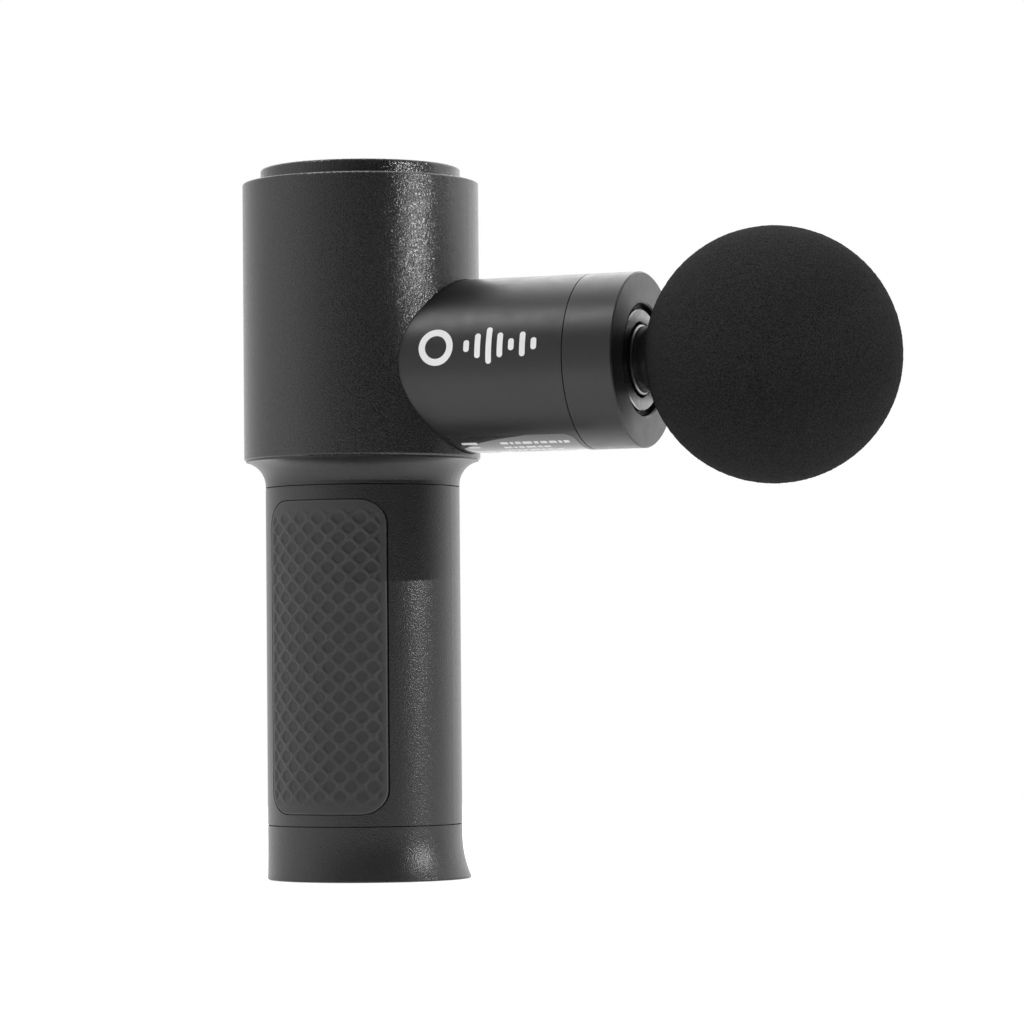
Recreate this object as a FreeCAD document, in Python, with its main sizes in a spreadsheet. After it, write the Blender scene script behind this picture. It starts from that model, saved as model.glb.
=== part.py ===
"""A T-shaped handheld massage gun, as an assembly of separate pieces, in millimetres.

The row frame has +Z up, the handle's axis on Z, the flat underside of the base at Z = 0, and the barrel
pointing along +X. A vertical motor in the drum turns a crank, whose connecting rod drives a hollow shaft
to and fro along the barrel. A foam ball on a stem is pushed into the shaft's front end.
"""

import FreeCAD, Part

import math
import os
import re

import PartDesign
import Sketcher
from FreeCAD import Placement, Rotation, Vector

DIMENSIONS = {
    # The drum that holds the motor, and the lid on it.
    "housing_radius": 30.0,
    "housing_wall": 2.4,
    "housing_bottom": 105.8,
    "housing_top": 176.2,
    "housing_edge": 0.5,
    "lid_radius": 25.4,
    "lid_top": 179.9,
    "lid_edge": 0.7,
    "lid_web": 1.6,
    "lid_spigot_radius": 24.1,
    "lid_spigot_depth": 3.6,
    "lens_radius": 21.0,
    "lens_thickness": 1.4,
    "board_top": 172.6,
    "board_thickness": 1.2,
    "board_radius": 21.8,
    # The push-buttons in the lid.
    "button_radius": 4.0,
    "button_gap": 0.15,
    "button_flange": 0.8,
    "power_button_back": 12.5,
    "speed_button_back": 2.0,
    "speed_button_side": 11.5,
    "display_front": 16.0,
    "display_back": 6.0,
    "display_half_width": 8.0,
    # The handle, its flared neck and its base.
    "handle_radius": 24.6,
    "handle_wall": 2.0,
    "base_split": 13.7,
    "neck_split": 98.8,
    "seam": 0.25,
    "flare_radius": 29.5,
    "flare_arc": 6.2,
    "toe_reach": 2.5,
    "base_floor": 2.4,
    "base_bore": 20.9,
    "spigot_height": 3.3,
    "pad_low": 16.8,
    "pad_high": 95.0,
    "pad_half_width": 16.25,
    "pad_back": 0.6,
    "pad_corner": 6.0,
    "pad_depth": 1.2,
    "pad_proud": 0.15,
    "pad_gap": 0.2,
    # The barrel and its front collar.
    "barrel_height": 128.6,
    "barrel_radius": 21.85,
    "barrel_wall": 1.9,
    "barrel_gap": 0.15,
    "barrel_split": 64.2,
    "barrel_front": 77.3,
    "mouth_radius": 14.0,
    "mouth_depth": 2.0,
    "cover_front": 76.7,
    "cover_radius": 12.6,
    "cover_groove": 73.8,
    "label_back": 24.0,
    "label_clearance": 0.6,
    "label_front": 62.9,
    "label_half_width": 11.9,
    "label_depth": 0.2,
    # The casting inside: crank case, motor plate and the guide tube for the shaft.
    "case_radius": 27.4,
    "case_bore": 24.2,
    "case_floor": 2.6,
    "throat_radius": 14.5,
    "frame_screw_ring": 17.5,
    "plate_bottom": 141.4,
    "plate_top": 144.4,
    "guide_radius": 18.0,
    "guide_bore": 15.0,
    "guide_front": 72.8,
    "bush_radius": 13.0,
    "bush_back": 51.0,
    "bush_front": 71.0,
    "running_gap": 0.05,
    # The slider-crank drive.
    "crank_throw": 5.0,
    "rod_length": 38.0,
    "rod_half_height": 3.5,
    "shaft_radius": 8.75,
    "shaft_back": 39.5,
    "ear_back": 26.5,
    "socket_radius": 5.5,
    "socket_depth": 20.0,
    "wrist_radius": 2.5,
    "pin_radius": 3.0,
    "pivot_gap": 0.3,
    # The motor.
    "axle_radius": 3.0,
    "axle_top": 168.5,
    "bearing_radius": 6.5,
    "bearing_width": 5.0,
    "hub_radius": 8.2,
    "hub_top": 163.0,
    "stator_bottom": 149.5,
    "stator_top": 157.5,
    "can_radius": 23.2,
    "can_bottom": 147.6,
    "can_top": 165.5,
    "magnet_outer": 22.0,
    "magnet_inner": 20.05,
    # The attachment.
    "ball_radius": 31.5,
    "ball_centre": 111.3,
    "stem_radius": 5.45,
    "stem_back": 59.1,
    "stem_front": 101.0,
    "stem_collar_radius": 8.2,
    # The battery pack and the charging board.
    "cell_radius": 9.2,
    "cell_length": 65.2,
    "cell_bottom": 19.0,
    "cell_ring": 10.85,
    "holder_radius": 21.8,
    "charge_board_bottom": 8.4,
    "port_back": 9.0,
    "switch_forward": 9.0,
    "switch_travel": 3.0,
    "lead_radius": 0.7,
    "lead_lane": 25.4,
}

LARGE = 200.0  # longer than the object, for tools that only have to pass right through it
CELL_ANGLES = (0, 120, 240)
BASE_SCREW_ANGLES = (60, 180, 300)
DIAGONAL_ANGLES = (45, 135, 225, 315)

doc = FreeCAD.newDocument("massage_gun")
sheet = doc.addObject("Spreadsheet::Sheet", "dims")
nodes = []


def fill_sheet():
    """Writes every driving dimension to the spreadsheet, with its alias."""
    for row, (alias, number) in enumerate(DIMENSIONS.items(), start=1):
        sheet.set(f"A{row}", alias)
        sheet.set(f"B{row}", str(number))
        sheet.setAlias(f"B{row}", alias)
    doc.recompute()


# ---------------------------------------------------------------------------------------------------
# Helpers: formulas name the sheet's aliases directly, such as "housing_radius - housing_wall".
# ---------------------------------------------------------------------------------------------------


def formula(text):
    """A formula with each alias given its full name in the sheet."""
    return re.sub(r"[a-z_]+", lambda m: f"dims.{m[0]}" if m[0] in DIMENSIONS else m[0], str(text))


def value(text):
    """The number that a formula stands for now."""
    return float(sheet.evalExpression(formula(text)))


def bind(thing, **formulas):
    """Ties properties of an object to formulas. An underscore pair stands for a dot."""
    for name, text in formulas.items():
        thing.setExpression(name.replace("__", "."), formula(text))
    return thing


def place(thing, at=("0", "0", "0"), axis=(0, 0, 1), angle=0.0):
    """Turns an object about axis and ties its position to three formulas."""
    thing.Placement = Placement(Vector(), Rotation(Vector(*axis), angle))
    return bind(thing, Placement__Base__x=at[0], Placement__Base__y=at[1], Placement__Base__z=at[2])


def node(thing, label):
    """Marks an object as a finished sub-part with this name."""
    thing.Label = label
    nodes.append(thing)
    return thing


def origin_plane(body, role):
    return next(f for f in body.Origin.OriginFeatures if f.Role == role)


def draw(sketch, outline):
    """Draws a closed outline. Each corner is (x, y), or (x, y, radius, side) where an arc of that radius
    starts there, with its centre on the left (side 1) or right (side -1) of the way to the next corner."""
    points = [Vector(value(c[0]), value(c[1]), 0) for c in outline]
    ends = []
    for i, corner in enumerate(outline):
        start, end = points[i], points[(i + 1) % len(points)]
        if len(corner) == 2:
            sketch.addGeometry(Part.LineSegment(start, end), False)
            ends.append((1, 2))
            continue
        radius, side = value(corner[2]), corner[3]
        chord = end - start
        left = Vector(-chord.y, chord.x, 0).normalize()
        reach = math.sqrt(max(radius**2 - (chord.Length / 2) ** 2, 0.0))
        centre = (start + end) / 2 + left * reach * side
        first, last = (start, end) if side > 0 else (end, start)
        angles = [math.atan2(p.y - centre.y, p.x - centre.x) for p in (first, last)]
        circle = Part.Circle(centre, Vector(0, 0, 1), radius)
        sketch.addGeometry(Part.ArcOfCircle(circle, *angles), False)
        ends.append((1, 2) if side > 0 else (2, 1))
        index = sketch.addConstraint(Sketcher.Constraint("Radius", i, radius))
        sketch.setExpression(f"Constraints[{index}]", formula(corner[2]))
    for i in range(len(outline)):
        after = (i + 1) % len(outline)
        sketch.addConstraint(Sketcher.Constraint("Coincident", i, ends[i][1], after, ends[after][0]))
    for i, corner in enumerate(outline):
        across, up = ("DistanceX", corner[0], points[i].x), ("DistanceY", corner[1], points[i].y)
        for kind, text, number in (across, up):
            constraint = Sketcher.Constraint(kind, -1, 1, i, ends[i][0], number)
            index = sketch.addConstraint(constraint)
            sketch.setExpression(f"Constraints[{index}]", formula(text))


def sketch_on(body, role, outline, offset="0"):
    sketch = body.newObject("Sketcher::SketchObject", f"{body.Name}_outline")
    sketch.AttachmentSupport = [(origin_plane(body, role), "")]
    sketch.MapMode = "FlatFace"
    bind(sketch, AttachmentOffset__Base__z=offset)
    draw(sketch, outline)
    return sketch


def turned(name, outline):
    """A body turned about Z. The outline's corners are (radius, height)."""
    body = doc.addObject("PartDesign::Body", name)
    sketch = sketch_on(body, "XZ_Plane", outline)
    turn = body.newObject("PartDesign::Revolution", f"{name}_turn")
    turn.Profile = sketch
    turn.ReferenceAxis = (sketch, ["V_Axis"])
    turn.Angle = 360
    doc.recompute()
    return body


def turned_on_barrel(name, outline):
    """A body turned about the barrel's axis. The outline's corners are (distance along X, radius)."""
    body = doc.addObject("PartDesign::Body", name)
    sketch = sketch_on(body, "XZ_Plane", outline)
    turn = body.newObject("PartDesign::Revolution", f"{name}_turn")
    turn.Profile = sketch
    turn.ReferenceAxis = (sketch, ["H_Axis"])
    turn.Angle = 360
    place(body, ("0", "0", "barrel_height"))
    doc.recompute()
    return body


def raised(name, outline, bottom, height, role="XY_Plane"):
    """A body raised from an outline. On XZ_Plane the outline is (x, z) and the body grows towards -Y."""
    body = doc.addObject("PartDesign::Body", name)
    pad = body.newObject("PartDesign::Pad", f"{name}_pad")
    pad.Profile = sketch_on(body, role, outline, bottom)
    bind(pad, Length=height)
    doc.recompute()
    return body


def soften(body, kind, size, circles):
    """Fillets or chamfers the body's circular edges of the given (radius, distance along the axis)."""
    base = body.Tip
    wanted = [(value(r), value(d)) for r, d in circles]
    names = []
    for number, edge in enumerate(base.Shape.Edges, start=1):
        if edge.Curve.TypeId != "Part::GeomCircle":
            continue
        centre = edge.Curve.Center
        along = centre.z if abs(edge.Curve.Axis.z) > 0.5 else centre.x
        if any(abs(edge.Curve.Radius - r) < 1e-4 and abs(along - d) < 1e-4 for r, d in wanted):
            names.append(f"Edge{number}")
    feature = body.newObject(f"PartDesign::{kind}", f"{body.Name}_{kind.lower()}")
    feature.Base = (base, names)
    bind(feature, **{"Radius" if kind == "Fillet" else "Size": size})
    doc.recompute()
    return body


def cylinder(name, radius, height, at=("0", "0", "0"), axis="Z"):
    """A cylinder that starts at a point and runs along +Z, +X or +Y."""
    thing = bind(doc.addObject("Part::Cylinder", name), Radius=radius, Height=height)
    turn = {"Z": ((0, 0, 1), 0.0), "X": ((0, 1, 0), 90.0), "Y": ((1, 0, 0), -90.0)}[axis]
    return place(thing, at, *turn)


def box(name, size, corner):
    """A box with its lowest corner at a point."""
    thing = doc.addObject("Part::Box", name)
    bind(thing, Length=size[0], Width=size[1], Height=size[2])
    return place(thing, corner)


def fuse(name, *things):
    joined = doc.addObject("Part::MultiFuse", name)
    joined.Shapes = list(things)
    return joined


def cut(name, base, *tools):
    """The base without the tools."""
    made = doc.addObject("Part::Cut", name)
    made.Base = base
    made.Tool = tools[0] if len(tools) == 1 else fuse(f"{name}_tools", *tools)
    return made


def common(name, first, second):
    made = doc.addObject("Part::Common", name)
    made.Base = first
    made.Tool = second
    return made


def group(name, *things):
    """Several separate solids as one object."""
    made = doc.addObject("Part::Compound", name)
    made.Links = list(things)
    return made


def copy_at(name, original, at=("0", "0", "0"), axis=(0, 0, 1), angle=0.0):
    """A linked copy of an object, turned and placed."""
    link = doc.addObject("App::Link", name)
    link.LinkedObject = original
    link.LinkTransform = True
    return place(link, at, axis, angle)


def ring_of(name, original, angles):
    """Linked copies of an object, turned about Z by each angle."""
    return group(name, *[copy_at(f"{name}_{n}", original, angle=a) for n, a in enumerate(angles)])


def polar(radius, angle):
    """Formulas for a point on a circle about Z."""
    turn = math.radians(angle)
    return f"({radius}) * {math.cos(turn):.9f}", f"({radius}) * {math.sin(turn):.9f}"


def posts(name, radius, bottom, height, ring, angles):
    """Upright cylinders on a circle about Z."""
    made = []
    for n, angle in enumerate(angles):
        x, y = polar(ring, angle)
        made.append(cylinder(f"{name}_{n}", radius, height, (x, y, bottom)))
    return made


def rounded_rectangle(low, high, corner):
    """The outline of a rectangle between two (x, y) corners, with rounded corners."""
    (x0, y0), (x1, y1) = low, high
    return [
        (f"{x0} + {corner}", y0),
        (f"{x1} - {corner}", y0, corner, 1),
        (x1, f"{y0} + {corner}"),
        (x1, f"{y1} - {corner}", corner, 1),
        (f"{x1} - {corner}", y1),
        (f"{x0} + {corner}", y1, corner, 1),
        (x0, f"{y1} - {corner}"),
        (x0, f"{y0} + {corner}", corner, 1),
    ]


def ring(name, inner, outer, bottom, top):
    """A plain upright ring with a rectangular section."""
    return turned(name, [(inner, bottom), (outer, bottom), (outer, top), (inner, top)])


def barrel_ring(name, inner, outer, back, front):
    """A plain ring about the barrel's axis."""
    return turned_on_barrel(name, [(back, inner), (front, inner), (front, outer), (back, outer)])


def screw(name, head_radius, head_height, shank_radius, length):
    """A cap screw with its head's underside at the origin and its shank running up Z, with a hex socket."""
    blank = turned(
        f"{name}_blank",
        [
            ("0", f"0 - {head_height}"),
            (head_radius, f"0 - {head_height}"),
            (head_radius, "0"),
            (shank_radius, "0"),
            (shank_radius, length),
            ("0", length),
        ],
    )
    socket = doc.addObject("Part::Prism", f"{name}_socket")
    socket.Polygon = 6
    bind(socket, Circumradius=f"{shank_radius} * 0.9", Height=f"{head_height} * 0.6")
    place(socket, ("0", "0", f"0 - {head_height}"))
    return cut(name, blank, socket)


def bearing_parts(name, bore, outer, width, bottom, at=("0", "0"), balls=8):
    """A ball bearing's inner ring, outer ring and balls, as three objects."""
    x, y = at
    land = f"({outer} - {bore}) * 0.3"
    made = []
    for label, low, high in (
        ("inner", bore, f"{bore} + {land}"),
        ("outer", f"{outer} - {land}", outer),
    ):
        thing = turned(f"{name}_{label}", [(low, "0"), (high, "0"), (high, width), (low, width)])
        made.append(place(thing, (x, y, bottom)))
    spheres = []
    for n in range(balls):
        dx, dy = polar(f"({outer} + {bore}) / 2", 360 * n / balls)
        ball = doc.addObject("Part::Sphere", f"{name}_ball_{n}")
        bind(ball, Radius=f"({outer} - {bore}) * 0.2 - 0.02")
        spheres.append(place(ball, (f"{x} + {dx}", f"{y} + {dy}", f"{bottom} + {width} / 2")))
    return made[0], made[1], group(f"{name}_balls", *spheres)


# ---------------------------------------------------------------------------------------------------
# Outer shells
# ---------------------------------------------------------------------------------------------------


def motor_housing():
    """The drum: a tube with an inward rim at its top and a round opening for the barrel in its side."""
    inner = "housing_radius - housing_wall"
    shell = turned(
        "motor_housing_shell",
        [
            (inner, "housing_bottom"),
            ("housing_radius", "housing_bottom"),
            ("housing_radius", "housing_top"),
            ("lid_spigot_radius + 0.1", "housing_top"),
            ("lid_spigot_radius + 0.1", "housing_top - 2.6"),
            (inner, "housing_top - 2.6"),
        ],
    )
    edges = [("housing_radius", "housing_bottom"), ("housing_radius", "housing_top")]
    soften(shell, "Fillet", "housing_edge", edges)
    opening = cylinder(
        "motor_housing_opening",
        "barrel_radius + barrel_gap",
        "housing_radius + 10",
        ("0", "0", "barrel_height"),
        "X",
    )
    node(cut("motor_housing_cut", shell, opening), "motor_housing")


def button_places():
    """The centre of each push-button in the lid, as formulas."""
    return {
        "power_button": ("0 - power_button_back", "0"),
        "speed_up_button": ("0 - speed_button_back", "0 - speed_button_side"),
        "speed_down_button": ("0 - speed_button_back", "speed_button_side"),
    }


def button_holes(name):
    """Tools that cut the three button holes through the lid or its lens."""
    return [
        cylinder(f"{name}_{key}", "button_radius + button_gap", str(LARGE), (x, y, "board_top"))
        for key, (x, y) in button_places().items()
    ]


def top_cap():
    """The lid: a rim, a web under the lens, a spigot into the drum, and posts for the control board."""
    rim = "lens_radius + 0.1"
    web_top = "lid_top - lens_thickness - 0.2"
    web_bottom = f"{web_top} - lid_web"
    spigot_inner = "lid_spigot_radius - 2.1"
    blank = turned(
        "top_cap_blank",
        [
            ("0", web_bottom),
            (spigot_inner, web_bottom),
            (spigot_inner, "housing_top - lid_spigot_depth"),
            ("lid_spigot_radius", "housing_top - lid_spigot_depth"),
            ("lid_spigot_radius", "housing_top"),
            ("lid_radius", "housing_top"),
            ("lid_radius", "lid_top"),
            (rim, "lid_top"),
            (rim, web_top),
            ("0", web_top),
        ],
    )
    soften(blank, "Fillet", "lid_edge", [("lid_radius", "lid_top")])
    post_height = f"{web_bottom} - board_top + 0.5"
    board_posts = posts("top_cap_post", "2.2", "board_top", post_height, "18.7", DIAGONAL_ANGLES)
    window = box(
        "top_cap_window",
        ("display_front - display_back - 2", "2 * display_half_width - 2", str(LARGE)),
        ("display_back + 1", "1 - display_half_width", "board_top"),
    )
    screw_holes = posts("top_cap_screw_hole", "1.0", "board_top - 1", "4", "18.7", DIAGONAL_ANGLES)
    body = fuse("top_cap_body", blank, *board_posts)
    node(cut("top_cap_cut", body, window, *screw_holes, *button_holes("top_cap_hole")), "top_cap")


def display_lens():
    """The smoked window set into the lid, with a hole for each button."""
    disc = ring("display_lens_disc", "0", "lens_radius", "lid_top - lens_thickness - 0.2", "lid_top - 0.2")
    soften(disc, "Chamfer", "0.15", [("lens_radius", "lid_top - 0.2")])
    node(cut("display_lens_cut", disc, *button_holes("display_lens_hole")), "display_lens")


def lid_button(label, at):
    """A push-button: a short stem, a flange that the lid's web holds in, and the cap that shows."""
    top = "lid_top"
    web_bottom = "lid_top - lens_thickness - 0.2 - lid_web"
    flange = f"{web_bottom} - 0.1"
    body = turned(
        f"{label}_body",
        [
            ("0", f"{flange} - 1.0"),
            ("2.0", f"{flange} - 1.0"),
            ("2.0", f"{flange} - 0.6"),
            ("button_radius + button_flange", f"{flange} - 0.6"),
            ("button_radius + button_flange", flange),
            ("button_radius", flange),
            ("button_radius", top),
            ("0", top),
        ],
    )
    soften(body, "Fillet", "0.35", [("button_radius", top)])
    place(body, (at[0], at[1], "0"))
    node(body, label)


def neck_collar():
    """The flared neck: its outside sweeps in from the drum to the handle, with a spigot into each."""
    grip = "handle_radius - handle_wall"
    inner = f"{grip} - 1.8"
    body = turned(
        "neck_collar_body",
        [
            (inner, "neck_split - 5"),
            (grip, "neck_split - 5"),
            (grip, "neck_split + seam / 2"),
            ("handle_radius", "neck_split + seam / 2"),
            ("handle_radius", "neck_split + 1.0", "flare_arc", -1),
            ("flare_radius", "housing_bottom - 0.4"),
            ("flare_radius", "housing_bottom"),
            ("throat_radius", "housing_bottom"),
            ("throat_radius", "housing_bottom - 2.8"),
            (inner, "housing_bottom - 2.8"),
        ],
    )
    low = "housing_bottom - 4"
    holes = posts("neck_collar_hole", "1.45", low, "6", "frame_screw_ring", DIAGONAL_ANGLES)
    leads = box("neck_collar_lead_slot", ("9", "13", "8"), ("0 - 19.5", "0 - 6.5", "housing_bottom - 6"))
    node(cut("neck_collar_cut", body, leads, *holes), "neck_collar")


def pad_prism(name, grow, side):
    """A rounded rectangle as tall as a grip pad, run out sideways from the handle's axis to one side."""
    outline = rounded_rectangle(
        (f"0 - pad_back - pad_half_width - {grow}", f"pad_low - {grow}"),
        (f"pad_half_width - pad_back + {grow}", f"pad_high + {grow}"),
        f"(pad_corner + {grow})",
    )
    prism = raised(name, outline, "0" if side < 0 else "0 - housing_radius", "housing_radius", "XZ_Plane")
    return prism


def handle_shell():
    """The handle's tube, with a shallow rounded pocket on each side for a grip pad."""
    tube = ring(
        "handle_shell_tube",
        "handle_radius - handle_wall",
        "handle_radius",
        "base_split + seam / 2",
        "neck_split - seam / 2",
    )
    cutter_ring = ring(
        "handle_shell_cutter_ring",
        "handle_radius - pad_depth",
        "handle_radius + 5",
        "pad_low - 5",
        "pad_high + 5",
    )
    prisms = fuse(
        "handle_shell_prisms",
        pad_prism("handle_shell_prism_right", "pad_gap", -1),
        pad_prism("handle_shell_prism_left", "pad_gap", 1),
    )
    node(cut("handle_shell_cut", tube, common("handle_shell_pockets", cutter_ring, prisms)), "handle_shell")


def grip_pad(label, side):
    """A moulded rubber pad that lies in one of the handle's pockets."""
    skin = ring(
        f"{label}_skin",
        "handle_radius - pad_depth",
        "handle_radius + pad_proud",
        "pad_low - 5",
        "pad_high + 5",
    )
    node(common(f"{label}_pad", skin, pad_prism(f"{label}_prism", "0", side)), label)


def base_cap():
    """The base: a cup whose outside swells to a toe at the front, with bosses, port and switch slot."""
    sections = []
    for n in range(8):
        down = max(0.0, 1 - n / 6)
        circle = doc.addObject("Part::Circle", f"base_cap_section_{n}")
        bind(circle, Radius=f"handle_radius + toe_reach / 2 * {down ** 2.2:.6f}")
        place(circle, (f"toe_reach / 2 * {down ** 2.2:.6f}", "0", f"{n} / 7 * (base_split - seam / 2)"))
        sections.append(circle)
    swell = doc.addObject("Part::Loft", "base_cap_swell")
    swell.Sections = sections
    swell.Solid = True
    doc.recompute()
    softened = doc.addObject("Part::Fillet", "base_cap_softened")
    softened.Base = swell
    bottom_edges = [n for n, e in enumerate(swell.Shape.Edges, start=1) if e.BoundBox.ZMax < 0.01]
    softened.Edges = [(n, 0.35, 0.35) for n in bottom_edges]
    bore = "handle_radius - handle_wall"
    spigot = ring("base_cap_spigot", "base_bore", bore, "base_split - 2", "base_split + spigot_height")
    cavity = cylinder("base_cap_cavity", "base_bore", str(LARGE), ("0", "0", "base_floor"))
    cup = cut("base_cap_cup", softened, cavity)
    boss_height = "base_split + spigot_height - base_floor + 0.5"
    bosses = posts("base_cap_boss", "3.0", "base_floor - 0.5", boss_height, "17.5", BASE_SCREW_ANGLES)
    shelf_height = "charge_board_bottom - base_floor + 0.5"
    shelves = [
        cylinder(f"base_cap_shelf_{n}", "2.0", shelf_height, ("0", y, "base_floor - 0.5"))
        for n, y in enumerate(("4.5", "0 - 4.5"))
    ]
    body = fuse("base_cap_body", cup, spigot, *bosses, *shelves)
    port = raised("base_cap_port", port_outline("0.2"), "0 - 1", "base_floor + 2")
    slot = box(
        "base_cap_slot",
        ("3.4", "switch_travel + 4.2", "base_floor + 2"),
        ("switch_forward - 1.7", "0 - (switch_travel + 4.2) / 2", "0 - 1"),
    )
    recess = raised(
        "base_cap_recess",
        rounded_rectangle(("switch_forward - 3.2", "0 - 5.2"), ("switch_forward + 3.2", "5.2"), "1.5"),
        "0 - 1",
        "2.2",
    )
    heads = posts("base_cap_head_hole", "2.5", "0 - 1", "2.8", "17.5", BASE_SCREW_ANGLES)
    shanks = posts("base_cap_shank_hole", "1.45", "0 - 1", str(LARGE), "17.5", BASE_SCREW_ANGLES)
    cores = [
        cylinder(f"base_cap_core_{n}", "0.9", "5", ("0", y, "charge_board_bottom - 4"))
        for n, y in enumerate(("4.5", "0 - 4.5"))
    ]
    node(cut("base_cap_cut", body, port, slot, recess, *heads, *shanks, *cores), "base_cap")


def port_outline(grow):
    """The stadium outline of a USB-C receptacle, seen from below, grown by an amount."""
    half_x = f"(1.63 + {grow})"
    half_y = f"(4.47 + {grow})"
    return rounded_rectangle(
        (f"0 - port_back - {half_x}", f"0 - {half_y}"),
        (f"{half_x} - port_back", half_y),
        f"({half_x} - 0.05)",
    )


# ---------------------------------------------------------------------------------------------------
# Barrel
# ---------------------------------------------------------------------------------------------------


def label_prism(name, shrink):
    """A rounded rectangle run down through the barrel's wall, hollowed at the back to follow the drum."""
    outline = rounded_rectangle(
        (f"label_back + {shrink}", f"{shrink} - label_half_width"),
        (f"label_front - {shrink}", f"label_half_width - {shrink}"),
        f"(3.2 - {shrink})",
    )
    block = raised(f"{name}_block", outline, "barrel_height - barrel_radius - 10", "barrel_radius")
    drum = cylinder(f"{name}_drum", f"housing_radius + label_clearance + {shrink}", str(LARGE))
    return cut(name, block, drum)


def barrel_tube():
    """The barrel's sleeve: its back is coped to the drum's inside, with a shallow pocket for a label."""
    tube = barrel_ring(
        "barrel_tube_tube", "barrel_radius - barrel_wall", "barrel_radius", "5", "barrel_split - seam / 2"
    )
    cope = cylinder("barrel_tube_cope", "housing_radius - housing_wall", str(LARGE))
    bed = "barrel_radius - label_depth"
    skin = barrel_ring("barrel_tube_skin", bed, "barrel_radius + 3", "5", "barrel_split")
    pocket = common("barrel_tube_pocket", skin, label_prism("barrel_tube_prism", "0"))
    node(cut("barrel_tube_cut", tube, cope, pocket), "barrel_tube")


def underside_label():
    """The blank label that lies in the pocket under the barrel."""
    skin = barrel_ring(
        "underside_label_skin", "barrel_radius - label_depth", "barrel_radius - 0.05", "5", "barrel_split"
    )
    patch = label_prism("underside_label_prism", "0.15")
    node(common("underside_label_common", skin, patch), "underside_label")


def front_collar():
    """The ring that closes the barrel's front, with a spigot into the sleeve and a round mouth."""
    spigot = "barrel_radius - barrel_wall - 0.05"
    floor = "barrel_front - mouth_depth"
    body = turned_on_barrel(
        "front_collar_body",
        [
            ("barrel_split - 4.5", "guide_radius"),
            (floor, "guide_radius"),
            (floor, "mouth_radius"),
            ("barrel_front", "mouth_radius"),
            ("barrel_front", "barrel_radius"),
            ("barrel_split + seam / 2", "barrel_radius"),
            ("barrel_split + seam / 2", spigot),
            ("barrel_split - 4.5", spigot),
        ],
    )
    soften(body, "Chamfer", "0.35", [("barrel_radius", "barrel_front"), ("mouth_radius", "barrel_front")])
    node(body, "front_collar")


def barrel_rings():
    """The rings stacked in the barrel's front: bush, wiper seal and the plate seen in the mouth."""
    bore = "shaft_radius + running_gap"
    node(barrel_ring("guide_bush_ring", bore, "bush_radius", "bush_back", "bush_front"), "guide_bush")
    node(barrel_ring("wiper_seal_ring", bore, "bush_radius", "bush_front", "guide_front"), "wiper_seal")
    hole = "shaft_radius + 0.55"
    floor = "barrel_front - mouth_depth"
    plate = turned_on_barrel(
        "mouth_plate_body",
        [
            ("guide_front", hole),
            ("cover_front", hole),
            ("cover_front", "cover_radius"),
            ("cover_groove", "cover_radius"),
            ("cover_groove", "mouth_radius"),
            (floor, "mouth_radius"),
            (floor, "guide_radius - 0.1"),
            ("guide_front", "guide_radius - 0.1"),
        ],
    )
    soften(plate, "Chamfer", "0.25", [(hole, "cover_front"), ("cover_radius", "cover_front")])
    node(plate, "mouth_plate")


# ---------------------------------------------------------------------------------------------------
# Drive: casting, crank, rod, shaft
# ---------------------------------------------------------------------------------------------------


def drive_frame():
    """The casting: crank case, motor plate with a bearing hub, and the guide tube along the barrel."""
    lower = "plate_bottom + bearing_width"
    upper = "hub_top - bearing_width"
    case = turned(
        "drive_frame_case",
        [
            ("throat_radius", "housing_bottom"),
            ("case_radius", "housing_bottom"),
            ("case_radius", "plate_top"),
            ("hub_radius", "plate_top"),
            ("hub_radius", "hub_top"),
            ("bearing_radius", "hub_top"),
            ("bearing_radius", upper),
            ("bearing_radius - 0.9", upper),
            ("bearing_radius - 0.9", lower),
            ("bearing_radius", lower),
            ("bearing_radius", "plate_bottom"),
            ("case_bore", "plate_bottom"),
            ("case_bore", "housing_bottom + case_floor"),
            ("throat_radius", "housing_bottom + case_floor"),
        ],
    )
    tube_start = ("case_bore", "0", "barrel_height")
    tube = cylinder("drive_frame_tube", "guide_radius", "guide_front - case_bore", tube_start, "X")
    body = fuse("drive_frame_body", case, tube)
    passage_start = ("18", "0", "barrel_height")
    passage = cylinder("drive_frame_passage", "guide_bore", "bush_back - 18", passage_start, "X")
    seat = cylinder("drive_frame_seat", "bush_radius", "40", ("bush_back - 2", "0", "barrel_height"), "X")
    inside = cylinder(
        "drive_frame_inside",
        "case_bore",
        "plate_bottom - housing_bottom - case_floor",
        ("0", "0", "housing_bottom + case_floor"),
    )
    lane = box("drive_frame_lane", ("6", "14", "60"), ("0 - 28", "0 - 7", "housing_bottom - 5"))
    entry = box("drive_frame_entry", ("16", "13", "10"), ("0 - 26", "0 - 6.5", "housing_bottom - 5"))
    holes = posts("drive_frame_hole", "1.2", "housing_bottom - 1", "8", "frame_screw_ring", DIAGONAL_ANGLES)
    node(cut("drive_frame_cut", body, passage, seat, inside, lane, entry, *holes), "drive_frame")


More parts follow.
